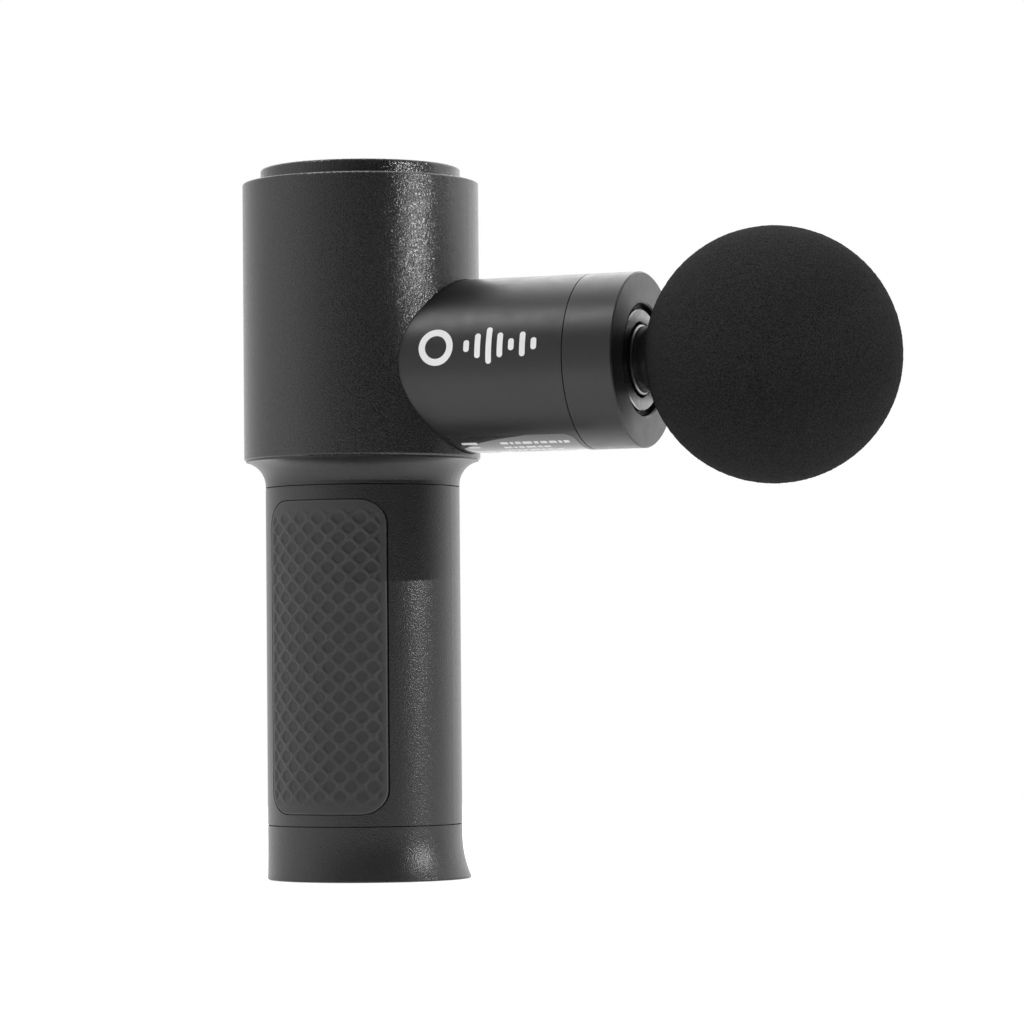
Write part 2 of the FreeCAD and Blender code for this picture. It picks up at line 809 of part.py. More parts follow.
def crank():
    """The crank: a hub on the motor's axle, a counterweight at the front and the crank pin's boss."""
    disc = cylinder("crank_disc", "9", "6", ("0", "0", "plate_bottom - 7.8"))
    hub = cylinder("crank_hub", "4.2", "7.8", ("0", "0", "plate_bottom - 7.8"))
    eye = cylinder("crank_eye", "7", "6", ("0 - crank_throw", "0", "plate_bottom - 7.8"))
    boss_height = "(plate_bottom - 7.8 - barrel_height - rod_half_height - 0.2 - pivot_gap)"
    boss_bottom = f"plate_bottom - 7.8 - {boss_height}"
    boss = cylinder("crank_boss", "4.4", boss_height, ("0 - crank_throw", "0", boss_bottom))
    weight = bind(doc.addObject("Part::Cylinder", "crank_weight"), Radius="16", Height="6")
    weight.Angle = 140
    place(weight, ("0", "0", "plate_bottom - 7.8"), angle=-70.0)
    body = fuse("crank_body", disc, hub, eye, boss, weight)
    bore = cylinder("crank_bore", "axle_radius", "20", ("0", "0", "plate_bottom - 12"))
    grub_hole = cylinder("crank_grub_hole", "1.5", "20", ("0", "0", "plate_bottom - 4.8"), "Y")
    node(cut("crank_cut", body, bore, grub_hole), "crank")
    grub = cylinder("crank_grub", "1.5", "5.6", ("0", "axle_radius", "plate_bottom - 4.8"), "Y")
    node(grub, "crank_grub_screw")


def connecting_rod():
    """The rod, its two bearings and the crank pin. It lies straight, with the crank at the back."""
    wrist = "rod_length - crank_throw"
    low = "barrel_height - rod_half_height"
    big = cylinder("connecting_rod_big", "10", "2 * rod_half_height", ("0 - crank_throw", "0", low))
    small = cylinder("connecting_rod_small", "6.4", "2 * rod_half_height - 1", (wrist, "0", f"{low} + 0.5"))
    shank = box(
        "connecting_rod_shank",
        ("rod_length", "9", "2 * rod_half_height - 2"),
        ("0 - crank_throw", "0 - 4.5", f"{low} + 1"),
    )
    body = fuse("connecting_rod_body", big, small, shank)
    seat = cylinder("connecting_rod_seat", "7.5", "20", ("0 - crank_throw", "0", f"{low} + 1"))
    lip = cylinder("connecting_rod_lip", "6.2", "20", ("0 - crank_throw", "0", f"{low} - 1"))
    eye = cylinder("connecting_rod_eye", "4", "20", (wrist, "0", f"{low} - 5"))
    waist = raised(
        "connecting_rod_waist",
        rounded_rectangle(("8.5", "0 - 2.6"), ("25", "2.6"), "2.4"),
        f"{low} + 4.5",
        "10",
    )
    node(cut("connecting_rod_cut", body, seat, lip, eye, waist), "connecting_rod")
    pin_at = ("0 - crank_throw", "0")
    parts = bearing_parts("big_end", "pin_radius", "7.5", "bearing_width", f"{low} + 1", pin_at)
    node(group("big_end_bearing_group", *parts), "big_end_bearing")
    bush_top = f"{low} + 2 * rod_half_height - 0.5"
    bush = ring("wrist_bush_ring", "wrist_radius + 0.02", "4", f"{low} + 0.5", bush_top)
    node(place(bush, (wrist, "0", "0")), "wrist_bush")
    pin = turned(
        "crank_pin_body",
        [
            ("0", f"{low} - 1.2"),
            ("4.4", f"{low} - 1.2"),
            ("4.4", f"{low} + 1"),
            ("pin_radius", f"{low} + 1"),
            ("pin_radius", "barrel_height + rod_half_height + 0.2"),
            ("0", "barrel_height + rod_half_height + 0.2"),
        ],
    )
    hexagon = doc.addObject("Part::Prism", "crank_pin_hexagon")
    hexagon.Polygon = 6
    bind(hexagon, Circumradius="2.3", Height="1.6")
    place(hexagon, ("0", "0", f"{low} - 1.3"))
    pin_cut = cut("crank_pin_cut", pin, hexagon)
    node(place(pin_cut, ("0 - crank_throw", "0", "0")), "crank_pin")


def piston_shaft():
    """The hollow shaft: a socket at its front end, and two ears at its back for the wrist pin."""
    rod = turned_on_barrel(
        "piston_shaft_rod",
        [
            ("shaft_back", "0"),
            ("barrel_front - socket_depth", "0"),
            ("barrel_front - socket_depth", "socket_radius"),
            ("barrel_front", "socket_radius"),
            ("barrel_front", "shaft_radius"),
            ("shaft_back", "shaft_radius"),
        ],
    )
    soften(rod, "Chamfer", "0.4", [("shaft_radius", "barrel_front"), ("socket_radius", "barrel_front")])
    ears = box(
        "piston_shaft_ears",
        ("shaft_back - ear_back", "13", "15.6"),
        ("ear_back", "0 - 6.5", "barrel_height - 7.8"),
    )
    slot = box(
        "piston_shaft_slot",
        ("shaft_back - ear_back + 2.5", "30", "2 * rod_half_height - 0.6"),
        ("ear_back - 1.5", "0 - 15", "barrel_height - rod_half_height + 0.3"),
    )
    wrist = "rod_length - crank_throw"
    hole = cylinder("piston_shaft_hole", "wrist_radius", "40", (wrist, "0", "barrel_height - 20"))
    node(cut("piston_shaft_cut", fuse("piston_shaft_body", rod, ears), slot, hole), "piston_shaft")
    pin = cylinder("wrist_pin_body", "wrist_radius", "15.2", (wrist, "0", "barrel_height - 7.6"))
    node(pin, "wrist_pin")
    floor = "barrel_front - socket_depth"
    damper = cylinder("socket_damper_disc", "socket_radius", "1.2", (floor, "0", "barrel_height"), "X")
    node(damper, "socket_damper")


# ---------------------------------------------------------------------------------------------------
# Motor
# ---------------------------------------------------------------------------------------------------


def motor():
    """The outer-rotor motor: laminations and coils on the casting's hub, a can with magnets round them."""
    core = ring("stator_core_ring", "hub_radius", "11", "stator_bottom", "stator_top")
    height = "stator_top - stator_bottom"
    tooth = raised(
        "stator_core_tooth",
        [
            ("10", "0 - 1.3"),
            ("17.6", "0 - 1.3"),
            ("17.6", "0 - 3.9"),
            ("19.2", "0 - 3.9"),
            ("19.2", "3.9"),
            ("17.6", "3.9"),
            ("17.6", "1.3"),
            ("10", "1.3"),
        ],
        "stator_bottom",
        height,
    )
    tooth_angles = [30 * n for n in range(12)]
    teeth = [copy_at(f"stator_core_tooth_{n}", tooth, angle=a) for n, a in enumerate(tooth_angles)]
    node(fuse("stator_core_fuse", core, *teeth), "stator_core")
    wire = raised(
        "stator_coil_block",
        [("11.7", "0 - 2.7"), ("17.3", "0 - 4.1"), ("17.3", "4.1"), ("11.7", "2.7")],
        "stator_bottom - 1.5",
        f"{height} + 3",
    )
    core_hole = box("stator_coil_hole", ("10", "2.6", height), ("10", "0 - 1.3", "stator_bottom"))
    node(ring_of("stator_coils_group", cut("stator_coil", wire, core_hole), tooth_angles), "stator_coils")
    can = turned(
        "rotor_can_body",
        [
            ("axle_radius", "can_top - 1.6"),
            ("magnet_outer", "can_top - 1.6"),
            ("magnet_outer", "can_bottom"),
            ("can_radius", "can_bottom"),
            ("can_radius", "can_top"),
            ("6", "can_top"),
            ("6", "can_top + 2.5"),
            ("axle_radius", "can_top + 2.5"),
        ],
    )
    vents = posts("rotor_can_vent", "3.2", "can_top - 5", "10", "14", [60 * n for n in range(6)])
    node(cut("rotor_can_cut", can, *vents), "rotor_can")
    magnet = doc.addObject("Part::Cylinder", "rotor_magnet_sector")
    bind(magnet, Radius="magnet_outer", Height="9.5")
    magnet.Angle = 23
    place(magnet, ("0", "0", "stator_bottom - 0.75"))
    hollow = cylinder("rotor_magnet_hollow", "magnet_inner", "30", ("0", "0", "stator_bottom - 5"))
    pole = cut("rotor_magnet", magnet, hollow)
    node(ring_of("rotor_magnets_group", pole, [360 / 14 * n for n in range(14)]), "rotor_magnets")
    low = "plate_bottom - 7.6"
    axle = cylinder("motor_axle_rod", "axle_radius", f"axle_top - ({low})", ("0", "0", low))
    node(axle, "motor_axle")


def motor_bearings():
    """Two bearings in the casting's hub. Their inner rings turn with the axle."""
    lower = bearing_parts("lower_bearing", "axle_radius", "bearing_radius", "bearing_width", "plate_bottom")
    seat = "hub_top - bearing_width"
    upper = bearing_parts("upper_bearing", "axle_radius", "bearing_radius", "bearing_width", seat)
    node(group("motor_bearings_group", lower[1], lower[2], upper[1], upper[2]), "motor_bearings")
    node(group("bearing_inner_rings_group", lower[0], upper[0]), "bearing_inner_rings")


# ---------------------------------------------------------------------------------------------------
# Attachment
# ---------------------------------------------------------------------------------------------------


def attachment():
    """The foam ball, the moulded stem in it, and the two O-rings that hold the stem in its socket."""
    grooves = ("stem_back + 3.5", "stem_back + 12.5")
    outline = [("stem_back", "0"), ("stem_front", "0"), ("stem_front", "stem_collar_radius")]
    outline += [("95", "stem_collar_radius"), ("95", "12"), ("92", "12"), ("92", "stem_collar_radius")]
    outline += [("barrel_front + 0.15", "stem_collar_radius"), ("barrel_front + 0.15", "stem_radius")]
    for start in reversed(grooves):
        outline += [(f"{start} + 1.3", "stem_radius"), (f"{start} + 1.3", "stem_radius - 1.2")]
        outline += [(start, "stem_radius - 1.2"), (start, "stem_radius")]
    outline += [("stem_back", "stem_radius")]
    stem = turned_on_barrel("attachment_stem_body", outline)
    soften(stem, "Chamfer", "0.7", [("stem_radius", "stem_back")])
    node(stem, "attachment_stem")
    rings = []
    for n, start in enumerate(grooves):
        torus = doc.addObject("Part::Torus", f"stem_o_ring_{n}")
        bind(torus, Radius1="stem_radius - 0.595", Radius2="0.6")
        rings.append(place(torus, (f"{start} + 0.65", "0", "barrel_height"), (0, 1, 0), 90))
    node(group("stem_o_rings_group", *rings), "stem_o_rings")
    ball = bind(doc.addObject("Part::Sphere", "foam_ball_sphere"), Radius="ball_radius")
    place(ball, ("ball_centre", "0", "barrel_height"))
    bore_start = ("70", "0", "barrel_height")
    bore = cylinder("foam_ball_bore", "stem_collar_radius", "stem_front - 70", bore_start, "X")
    barb = cylinder("foam_ball_barb", "12", "3", ("92", "0", "barrel_height"), "X")
    node(cut("foam_ball_cut", ball, bore, barb), "foam_ball")


# ---------------------------------------------------------------------------------------------------
# Electrics
# ---------------------------------------------------------------------------------------------------


def control_board():
    """The board under the lid, with its display module, three switches and screws."""
    bottom = "board_top - board_thickness"
    disc = ring("control_board_disc", "0", "board_radius", bottom, "board_top")
    holes = posts("control_board_hole", "1.1", f"{bottom} - 1", "4", "18.7", DIAGONAL_ANGLES)
    node(cut("control_board_cut", disc, *holes), "control_board")
    module = box(
        "display_module_box",
        ("display_front - display_back", "2 * display_half_width", "3.6"),
        ("display_back", "0 - display_half_width", "board_top"),
    )
    node(module, "display_module")
    switches = []
    for key, (x, y) in button_places().items():
        case = box(f"{key}_switch_case", ("6", "6", "1.8"), (f"{x} - 3", f"{y} - 3", "board_top"))
        plunger = cylinder(f"{key}_switch_plunger", "1.6", "0.5", (x, y, "board_top + 1.8"))
        switches.append(fuse(f"{key}_switch", case, plunger))
    node(group("button_switches_group", *switches), "button_switches")
    master = screw("board_screw", "1.9", "1.3", "1.0", "3.6")
    screws = []
    for n, angle in enumerate(DIAGONAL_ANGLES):
        x, y = polar("18.7", angle)
        screws.append(copy_at(f"board_screw_{n}", master, (x, y, bottom)))
    node(group("board_screws_group", *screws), "board_screws")


def battery():
    """Three round cells between two holders, with nickel links and a protection board on top."""
    top = "cell_bottom + cell_length"
    cell = cylinder("battery_cell", "cell_radius", "cell_length", ("cell_ring", "0", "cell_bottom"))
    node(ring_of("battery_cells_group", cell, CELL_ANGLES), "battery_cells")
    fit = "cell_radius + 0.05"
    pockets = posts("lower_holder_pocket", fit, "cell_bottom", "20", "cell_ring", CELL_ANGLES)
    floor = ring("lower_holder_disc", "0", "holder_radius", "cell_bottom - 1.8", "cell_bottom + 3.2")
    recess = cylinder("lower_holder_recess", "19.2", "0.4", ("0", "0", "cell_bottom - 0.4"))
    pilot = posts("lower_holder_pilot", "1.25", "cell_bottom - 5", "7.5", "17.5", BASE_SCREW_ANGLES)
    node(cut("lower_holder_cut", floor, recess, *pockets, *pilot), "lower_cell_holder")
    roof = ring("upper_holder_disc", "0", "holder_radius", f"{top} - 3.2", f"{top} + 1.8")
    crown = cylinder("upper_holder_recess", "19.2", "0.4", ("0", "0", top))
    upper_pockets = posts(
        "upper_holder_pocket", fit, "cell_bottom", "cell_length", "cell_ring", CELL_ANGLES
    )
    stands = posts("upper_holder_stand", "2.2", f"{top} + 1.8", "1.2", "13", BASE_SCREW_ANGLES)
    roof_body = fuse("upper_holder_body", roof, *stands)
    node(cut("upper_holder_cut", roof_body, crown, *upper_pockets), "upper_cell_holder")
    links = [*cell_links("lower", "cell_bottom - 0.4"), *cell_links("upper", top)]
    node(group("cell_links_group", *links), "cell_links")
    board_bottom = f"{top} + 3.0"
    board = ring("battery_board_disc", "0", "17", board_bottom, f"{board_bottom} + 1.2")
    chip_places = (("6", "5", "3", "0 - 8"), ("6", "5", "3", "3"), ("4", "8", "0 - 8", "0 - 4"))
    chips = [
        box(f"battery_board_chip_{n}", (length, width, "1.2"), (x, y, f"{board_bottom} + 1.2"))
        for n, (length, width, x, y) in enumerate(chip_places)
    ]
    node(fuse("battery_board_fuse", board, *chips), "battery_board")


def cell_links(name, bottom):
    """The nickel at one end of the pack: a bar across two cells and a tab on the third."""
    x, y = polar("cell_ring", 240)
    bar = box(f"{name}_link_bar", ("7", f"8 - 2 * {y}", "0.4"), (f"{x} - 3.5", f"{y} - 4", bottom))
    tab = box(f"{name}_link_tab", ("8", "8", "0.4"), ("cell_ring - 4", "0 - 4", bottom))
    return bar, tab


def charging():
    """The board in the base with the charging receptacle, the power switch and its slider."""
    board = box("charge_board_box", ("25", "13", "1.2"), ("0 - 12.5", "0 - 6.5", "charge_board_bottom"))
    holes = [
        cylinder(f"charge_board_hole_{n}", "1.1", "5", ("0", y, "charge_board_bottom - 2"))
        for n, y in enumerate(("4.5", "0 - 4.5"))
    ]
    node(cut("charge_board_cut", board, *holes), "charge_board")
    can = raised("charge_port_can", port_outline("0"), "0.5", "charge_board_bottom - 0.5")
    mouth = raised("charge_port_mouth", port_outline("0 - 0.3"), "0", "charge_board_bottom - 1.5")
    tongue = box("charge_port_tongue", ("0.7", "6.7", "5.5"), ("0 - port_back - 0.35", "0 - 3.35", "1.5"))
    node(fuse("charge_port_fuse", cut("charge_port_shell", can, mouth), tongue), "charge_port")
    case_low = "(base_floor + 0.3)"
    case = box(
        "power_switch_box",
        ("5", "10", f"charge_board_bottom - {case_low}"),
        ("switch_forward - 2.5", "0 - 5", case_low),
    )
    track = box(
        "power_switch_track",
        ("2.2", "switch_travel + 3.2", "2.5"),
        ("switch_forward - 1.1", "0 - (switch_travel + 3.2) / 2", f"{case_low} - 1"),
    )
    node(cut("power_switch_cut", case, track), "power_switch")
    knob = box(
        "power_slider_knob",
        ("2.8", "3.6", "base_floor - 0.3"),
        ("switch_forward - 1.4", "0 - switch_travel / 2 - 1.8", "0.3"),
    )
    foot = box(
        "power_slider_foot",
        ("1.8", "2.6", "1.8"),
        ("switch_forward - 0.9", "0 - switch_travel / 2 - 1.3", "base_floor - 0.2"),
    )
    node(fuse("power_slider_fuse", knob, foot), "power_slider")
    master = screw("charge_screw", "1.7", "1.2", "0.9", "4.4")
    screws = [
        copy_at(f"charge_screw_{n}", master, ("0", y, "charge_board_bottom + 1.2"), (1, 0, 0), 180)
        for n, y in enumerate(("4.5", "0 - 4.5"))
    ]
    node(group("charge_board_screws_group", *screws), "charge_board_screws")


def lead(name, points, radius, bend):
    """One wire: a tube along straight runs joined by tangent arcs of one bend radius."""
    corners = [Vector(*[value(c) for c in p]) for p in points]
    edges = []
    here = corners[0]
    for before, corner, after in zip(corners, corners[1:], corners[2:]):
        back = (before - corner).normalize()
        on = (after - corner).normalize()
        turn = math.pi - back.getAngle(on)
        reach = bend * math.tan(turn / 2)
        start, end = corner + back * reach, corner + on * reach
        centre = corner + (back + on).normalize() * (bend / math.cos(turn / 2))
        middle = centre + (corner - centre).normalize() * bend
        edges += [Part.LineSegment(here, start).toShape(), Part.Arc(start, middle, end).toShape()]
        here = end
    edges.append(Part.LineSegment(here, corners[-1]).toShape())
    path = Part.Wire(edges)
    section = Part.Wire(Part.makeCircle(radius, corners[0], (corners[1] - corners[0]).normalize()))
    tube = path.makePipeShell([section], True, False)
    if abs(tube.Volume / (math.pi * radius**2 * path.Length) - 1) > 0.01:
        raise ValueError(f"the tube {name} hasn't the volume of its path")
    thing = doc.addObject("Part::Feature", name)
    thing.Shape = tube
    return thing


def wiring():
    """The motor's three phase leads and the battery's two, all in the lane behind the crank case."""
    radius = value("lead_radius")
    under_board = "board_top - board_thickness"
    shelf = "board_top - board_thickness - 2.4"
    phases = []
    for n, y in enumerate((-1.9, 0.0, 1.9)):
        route = [
            ("0 - 14", y, "stator_bottom - 1.5"),
            ("0 - 14", y, "stator_bottom - 3.2"),
            ("0 - lead_lane", y, "stator_bottom - 3.2"),
            ("0 - lead_lane", y, shelf),
            ("0 - 18", y, shelf),
            ("0 - 18", y, under_board),
        ]
        phases.append(lead(f"phase_lead_{n}", route, radius, 1.2))
    node(group("phase_leads_group", *phases), "phase_leads")
    supply = []
    for n, y in enumerate((-4.6, 4.6)):
        route = [
            ("0 - 13", y, "cell_bottom + cell_length + 4.2"),
            ("0 - 13", y, "housing_bottom - 9"),
            ("0 - 17.6", y, "housing_bottom - 4"),
            ("0 - 17.6", y, "housing_bottom + 4"),
            ("0 - lead_lane", y, "housing_bottom + 14"),
            ("0 - lead_lane", y, shelf),
            ("0 - 18", y, shelf),
            ("0 - 18", y, under_board),
        ]
        supply.append(lead(f"supply_lead_{n}", route, radius, 1.2))
    node(group("battery_leads_group", *supply), "battery_leads")


# ---------------------------------------------------------------------------------------------------
# Fasteners
# ---------------------------------------------------------------------------------------------------


def long_screws():
    """The screws that hold the casting on the neck, and those that hold the base on the handle."""
    frame = screw("frame_screw", "2.4", "2.0", "1.2", "5.0")
    placed = []
    for n, angle in enumerate(DIAGONAL_ANGLES):
        x, y = polar("frame_screw_ring", angle)
        placed.append(copy_at(f"frame_screw_{n}", frame, (x, y, "housing_bottom - 2.8")))
    node(group("frame_screws_group", *placed), "frame_screws")
    base = screw("base_screw", "2.3", "1.5", "1.25", "17.5")
    placed = []
    for n, angle in enumerate(BASE_SCREW_ANGLES):
        x, y = polar("17.5", angle)
        placed.append(copy_at(f"base_screw_{n}", base, (x, y, "1.8")))
    node(group("base_screws_group", *placed), "base_screws")


# ---------------------------------------------------------------------------------------------------
# Build, check and write
# ---------------------------------------------------------------------------------------------------


def build():
    fill_sheet()
    motor_housing()
    top_cap()
    display_lens()
    for label, at in button_places().items():
        lid_button(label, at)
    neck_collar()
    handle_shell()
    grip_pad("grip_pad_right", -1)
    grip_pad("grip_pad_left", 1)
    base_cap()
    barrel_tube()
    underside_label()
    front_collar()
    barrel_rings()
    drive_frame()
    crank()
    connecting_rod()
    piston_shaft()
    motor()
    motor_bearings()
    attachment()
    control_board()
    battery()
    charging()
    wiring()
    long_screws()
    doc.recompute()


def check():
    """Stops if any object failed to compute or any sub-part isn't a valid closed shape."""
    for thing in doc.Objects:
        if {"Invalid", "Error"} & set(thing.State):
            raise RuntimeError(f"{thing.Name} failed: {thing.State}")
    for thing in nodes:
        shape = Part.getShape(thing)
        if shape.isNull() or not shape.isValid() or not shape.Solids:
            raise RuntimeError(f"{thing.Label} has no valid shape")


def write():
    os.makedirs("parts", exist_ok=True)
    for thing in nodes:
        shape = Part.getShape(thing)
        shape.exportStep(os.path.join("parts", f"{thing.Label}.step"))
        print(f"{thing.Label}: {len(shape.Solids)} solids, {shape.Volume:.1f} mm3")


build()
check()
write()
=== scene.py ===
import math

import bpy
import numpy as np
from mathutils import Matrix, Vector, noise


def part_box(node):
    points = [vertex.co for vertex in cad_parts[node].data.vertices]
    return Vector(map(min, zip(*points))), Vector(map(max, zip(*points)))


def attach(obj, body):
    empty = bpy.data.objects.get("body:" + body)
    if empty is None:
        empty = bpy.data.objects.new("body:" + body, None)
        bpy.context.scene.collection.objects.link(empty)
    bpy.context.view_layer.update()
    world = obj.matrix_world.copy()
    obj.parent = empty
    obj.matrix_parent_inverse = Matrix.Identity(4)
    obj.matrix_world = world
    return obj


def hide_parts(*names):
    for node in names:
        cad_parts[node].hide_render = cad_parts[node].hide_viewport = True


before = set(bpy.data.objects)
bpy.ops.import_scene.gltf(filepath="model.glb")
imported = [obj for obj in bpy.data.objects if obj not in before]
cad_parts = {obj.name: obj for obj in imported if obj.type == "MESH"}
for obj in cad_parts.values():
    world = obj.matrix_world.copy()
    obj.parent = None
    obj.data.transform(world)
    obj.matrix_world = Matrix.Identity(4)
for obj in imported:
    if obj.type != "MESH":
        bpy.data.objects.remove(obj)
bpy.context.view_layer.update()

# The looks of a T-shaped massage gun, in metres: +Z up, the handle's axis on Z, the barrel along +X.
MM = 0.001

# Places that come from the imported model.
BARREL_LOW, BARREL_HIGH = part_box("front_collar")
BARREL_RADIUS = BARREL_HIGH.y
BARREL_AXIS = (BARREL_LOW.z + BARREL_HIGH.z) / 2
BARREL_FACE = BARREL_HIGH.x
BALL_LOW, BALL_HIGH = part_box("foam_ball")
BALL_RADIUS = (BALL_HIGH.z - BALL_LOW.z) / 2
BALL_CENTRE = Vector((BALL_HIGH.x - BALL_RADIUS, 0, BARREL_AXIS))
STEM_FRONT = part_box("attachment_stem")[1].x
LENS_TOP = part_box("display_lens")[1].z
KEY_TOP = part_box("power_button")[1].z

# ---------------------------------------------------------------------------------------------------
# Materials
# ---------------------------------------------------------------------------------------------------


class Shade:
    """A Principled material with helpers that add procedural detail in the row frame's coordinates."""

    def __init__(self, name, colour, roughness, **sockets):
        self.material = bpy.data.materials.new(name)
        self.material.use_nodes = True
        self.tree = self.material.node_tree
        self.bsdf = self.tree.nodes["Principled BSDF"]
        self.bsdf.inputs["Base Color"].default_value = (*colour, 1)
        self.bsdf.inputs["Roughness"].default_value = roughness
        for key, number in sockets.items():
            self.bsdf.inputs[key.replace("_", " ")].default_value = number
        self.colour = colour
        self.place = self.node("ShaderNodeTexCoord").outputs["Object"]

    def node(self, kind, **values):
        made = self.tree.nodes.new(kind)
        for key, number in values.items():
            if hasattr(made, key):
                setattr(made, key, number)
            else:
                made.inputs[key.replace("_", " ")].default_value = number
        return made

    def link(self, output, socket):
        self.tree.links.new(output, socket)

    def noise(self, size, detail=2.0, stretch=(1, 1, 1), roughness=0.5):
        """Noise whose features are about size metres across, stretched along the axes."""
        mapping = self.node("ShaderNodeMapping", Scale=tuple(1 / (size * s) for s in stretch))
        self.link(self.place, mapping.inputs["Vector"])
        made = self.node("ShaderNodeTexNoise", Scale=1.0, Detail=detail, Roughness=roughness)
        self.link(mapping.outputs["Vector"], made.inputs["Vector"])
        return made.outputs["Fac"]

    def coordinate(self, axis):
        """The x, y or z coordinate, in metres."""
        split = self.node("ShaderNodeSeparateXYZ")
        self.link(self.place, split.inputs["Vector"])
        return split.outputs[axis]

    def cells(self, size, feature="F1"):
        """Distance from the middles of cells that are about size metres across."""
        made = self.node("ShaderNodeTexVoronoi", feature=feature, Scale=1 / size)
        self.link(self.place, made.inputs["Vector"])
        return made.outputs["Distance"]

    def ramp(self, value, low, high, to_low, to_high):
        """Maps a value from one range to another, clamped."""
        made = self.node("ShaderNodeMapRange")
        for key, number in zip(("From Min", "From Max", "To Min", "To Max"), (low, high, to_low, to_high)):
            made.inputs[key].default_value = number
        self.link(value, made.inputs["Value"])
        return made.outputs["Result"]

    def tint(self, value, low, high):
        """Colour varies between two multiples of the base colour as value goes from 0.3 to 0.7."""
        mix = self.node("ShaderNodeMix", data_type="RGBA")
        colours = [s for s in mix.inputs if s.type == "RGBA"]
        colours[0].default_value = (*[c * low for c in self.colour], 1)
        colours[1].default_value = (*[c * high for c in self.colour], 1)
        self.link(self.ramp(value, 0.3, 0.7, 0, 1), mix.inputs["Factor"])
        self.link([s for s in mix.outputs if s.type == "RGBA"][0], self.bsdf.inputs["Base Color"])
        return self

    def roughen(self, value, low, high):
        """Roughness varies between two values as value goes from 0.3 to 0.7."""
        self.link(self.ramp(value, 0.3, 0.7, low, high), self.bsdf.inputs["Roughness"])
        return self

    def bump(self, value, depth, strength=1.0):
        """Adds relief of about depth metres. Calls stack."""
        made = self.node("ShaderNodeBump", Strength=strength, Distance=depth)
        self.link(value, made.inputs["Height"])
        socket = self.bsdf.inputs["Normal"]
        if socket.is_linked:
            self.link(socket.links[0].from_socket, made.inputs["Normal"])
        self.link(made.outputs["Normal"], socket)
        return self

    def turned_about_x(self):
        """Turns the anisotropic highlight round the barrel's axis, as on a face turned in a lathe."""
        made = self.node("ShaderNodeTangent", direction_type="RADIAL", axis="X")
        self.link(made.outputs["Tangent"], self.bsdf.inputs["Tangent"])
        return self


COAT_GRAIN = 0.34 * MM
FOAM_PORES = 0.32 * MM
RUBBER_GRAIN = 0.26 * MM


def powder_coat(name, colour, roughness, contrast, relief):
    """Matte black with a fine pebbled grain that sparkles in a highlight."""
    shade = Shade(name, colour, roughness, Specular_IOR_Level=0.5)
    grain = shade.noise(COAT_GRAIN, 0.0)
    shade.tint(grain, 1 - contrast, 1 + contrast)
    shade.bump(grain, relief)
    return shade.material


def anodised(name, colour, roughness=0.33):
    """Satin anodised aluminium with faint circumferential lines."""
    shade = Shade(name, colour, roughness, Specular_IOR_Level=0.5)
    shade.tint(shade.noise(0.02, 3), 0.92, 1.1)
    shade.bump(shade.noise(0.00022, 2.0), 0.00002)
    shade.bump(shade.noise(0.0002, 1.0, stretch=(1, 60, 60)), 0.000006)
    shade.roughen(shade.noise(0.004, 2), roughness - 0.03, roughness + 0.04)
    return shade.material


def turned_face_painted_reflection(name, colour, roughness=0.28):
    """Metal turned about the barrel's axis, with a painted reflection: its colour is painted bright in wedges
    above and below the axis, and dark beside it.
    """
    shade = Shade(name, colour, roughness, Metallic=1.0, Anisotropic=0.85)
    shade.turned_about_x()
    off_axis = shade.node("ShaderNodeMath", operation="SUBTRACT")
    off_axis.inputs[1].default_value = BARREL_AXIS
    shade.link(shade.coordinate("Z"), off_axis.inputs[0])
    distance = shade.node("ShaderNodeMath", operation="ABSOLUTE")
    shade.link(off_axis.outputs["Value"], distance.inputs[0])
    # Painted reflection: the colour is dark near the level of the axis and bright further above and below it.
    shade.tint(shade.ramp(distance.outputs["Value"], *PAINTED_REFLECTION_EDGES, 0.3, 0.7), 0.12, 1.0)
    shade.roughen(shade.noise(0.003, 2), roughness - 0.03, roughness + 0.03)
    return shade.material


def end_with_painted_highlight(name, colour, roughness, start, paler):
    """Dark metal with a painted highlight: its colour is paler from a distance along the barrel on, over a
    chamfer.
    """
    shade = Shade(name, colour, roughness, Metallic=1.0)
    along = shade.coordinate("X")
    # Painted highlight: the colour turns paler from start on.
    shade.tint(shade.ramp(along, start - 0.1 * MM, start, 0.3, 0.7), 1.0, paler)
    shade.bump(shade.noise(0.0003, 2, stretch=(1, 40, 40)), 0.000008)
    return shade.material


def rubber(name, colour, roughness=0.62):
    """Moulded rubber with a fine dusty grain."""
    shade = Shade(name, colour, roughness, Specular_IOR_Level=0.4, Sheen_Weight=0.04, Sheen_Roughness=0.5)
    shade.tint(shade.noise(0.006, 4, roughness=0.65), 0.85, 1.15)
    shade.bump(shade.noise(RUBBER_GRAIN, 2.0), 0.00004)
    return shade.material


def grip_with_wear_and_painted_light(name, colour, roughness=0.62):
    """Grip rubber whose colour follows a mesh attribute: painted shade in the pits, and a painted highlight,
    partly wear, on their rims and round the pad's edge.
    """
    shade = Shade(name, colour, roughness, Specular_IOR_Level=0.4, Sheen_Weight=0.04, Sheen_Roughness=0.5)
    wear_and_painted_light = shade.node("ShaderNodeAttribute", attribute_name="wear_and_painted_light")
    # Painted shade in the pits and a painted highlight, partly wear, on the rims and the pad's edge.
    shade.tint(wear_and_painted_light.outputs["Fac"], 0.85, 2.1)
    shade.bump(shade.noise(RUBBER_GRAIN, 2.0), 0.00004)
    return shade.material


def foam(name, colour):
    """Closed-cell foam: matte, with fine pores."""
    shade = Shade(name, colour, 1.0, Specular_IOR_Level=0.06)
    grain = shade.noise(FOAM_PORES, 1.0, roughness=0.6)
    shade.tint(grain, 0.35, 1.8)
    shade.bump(grain, 0.00020)
    return shade.material


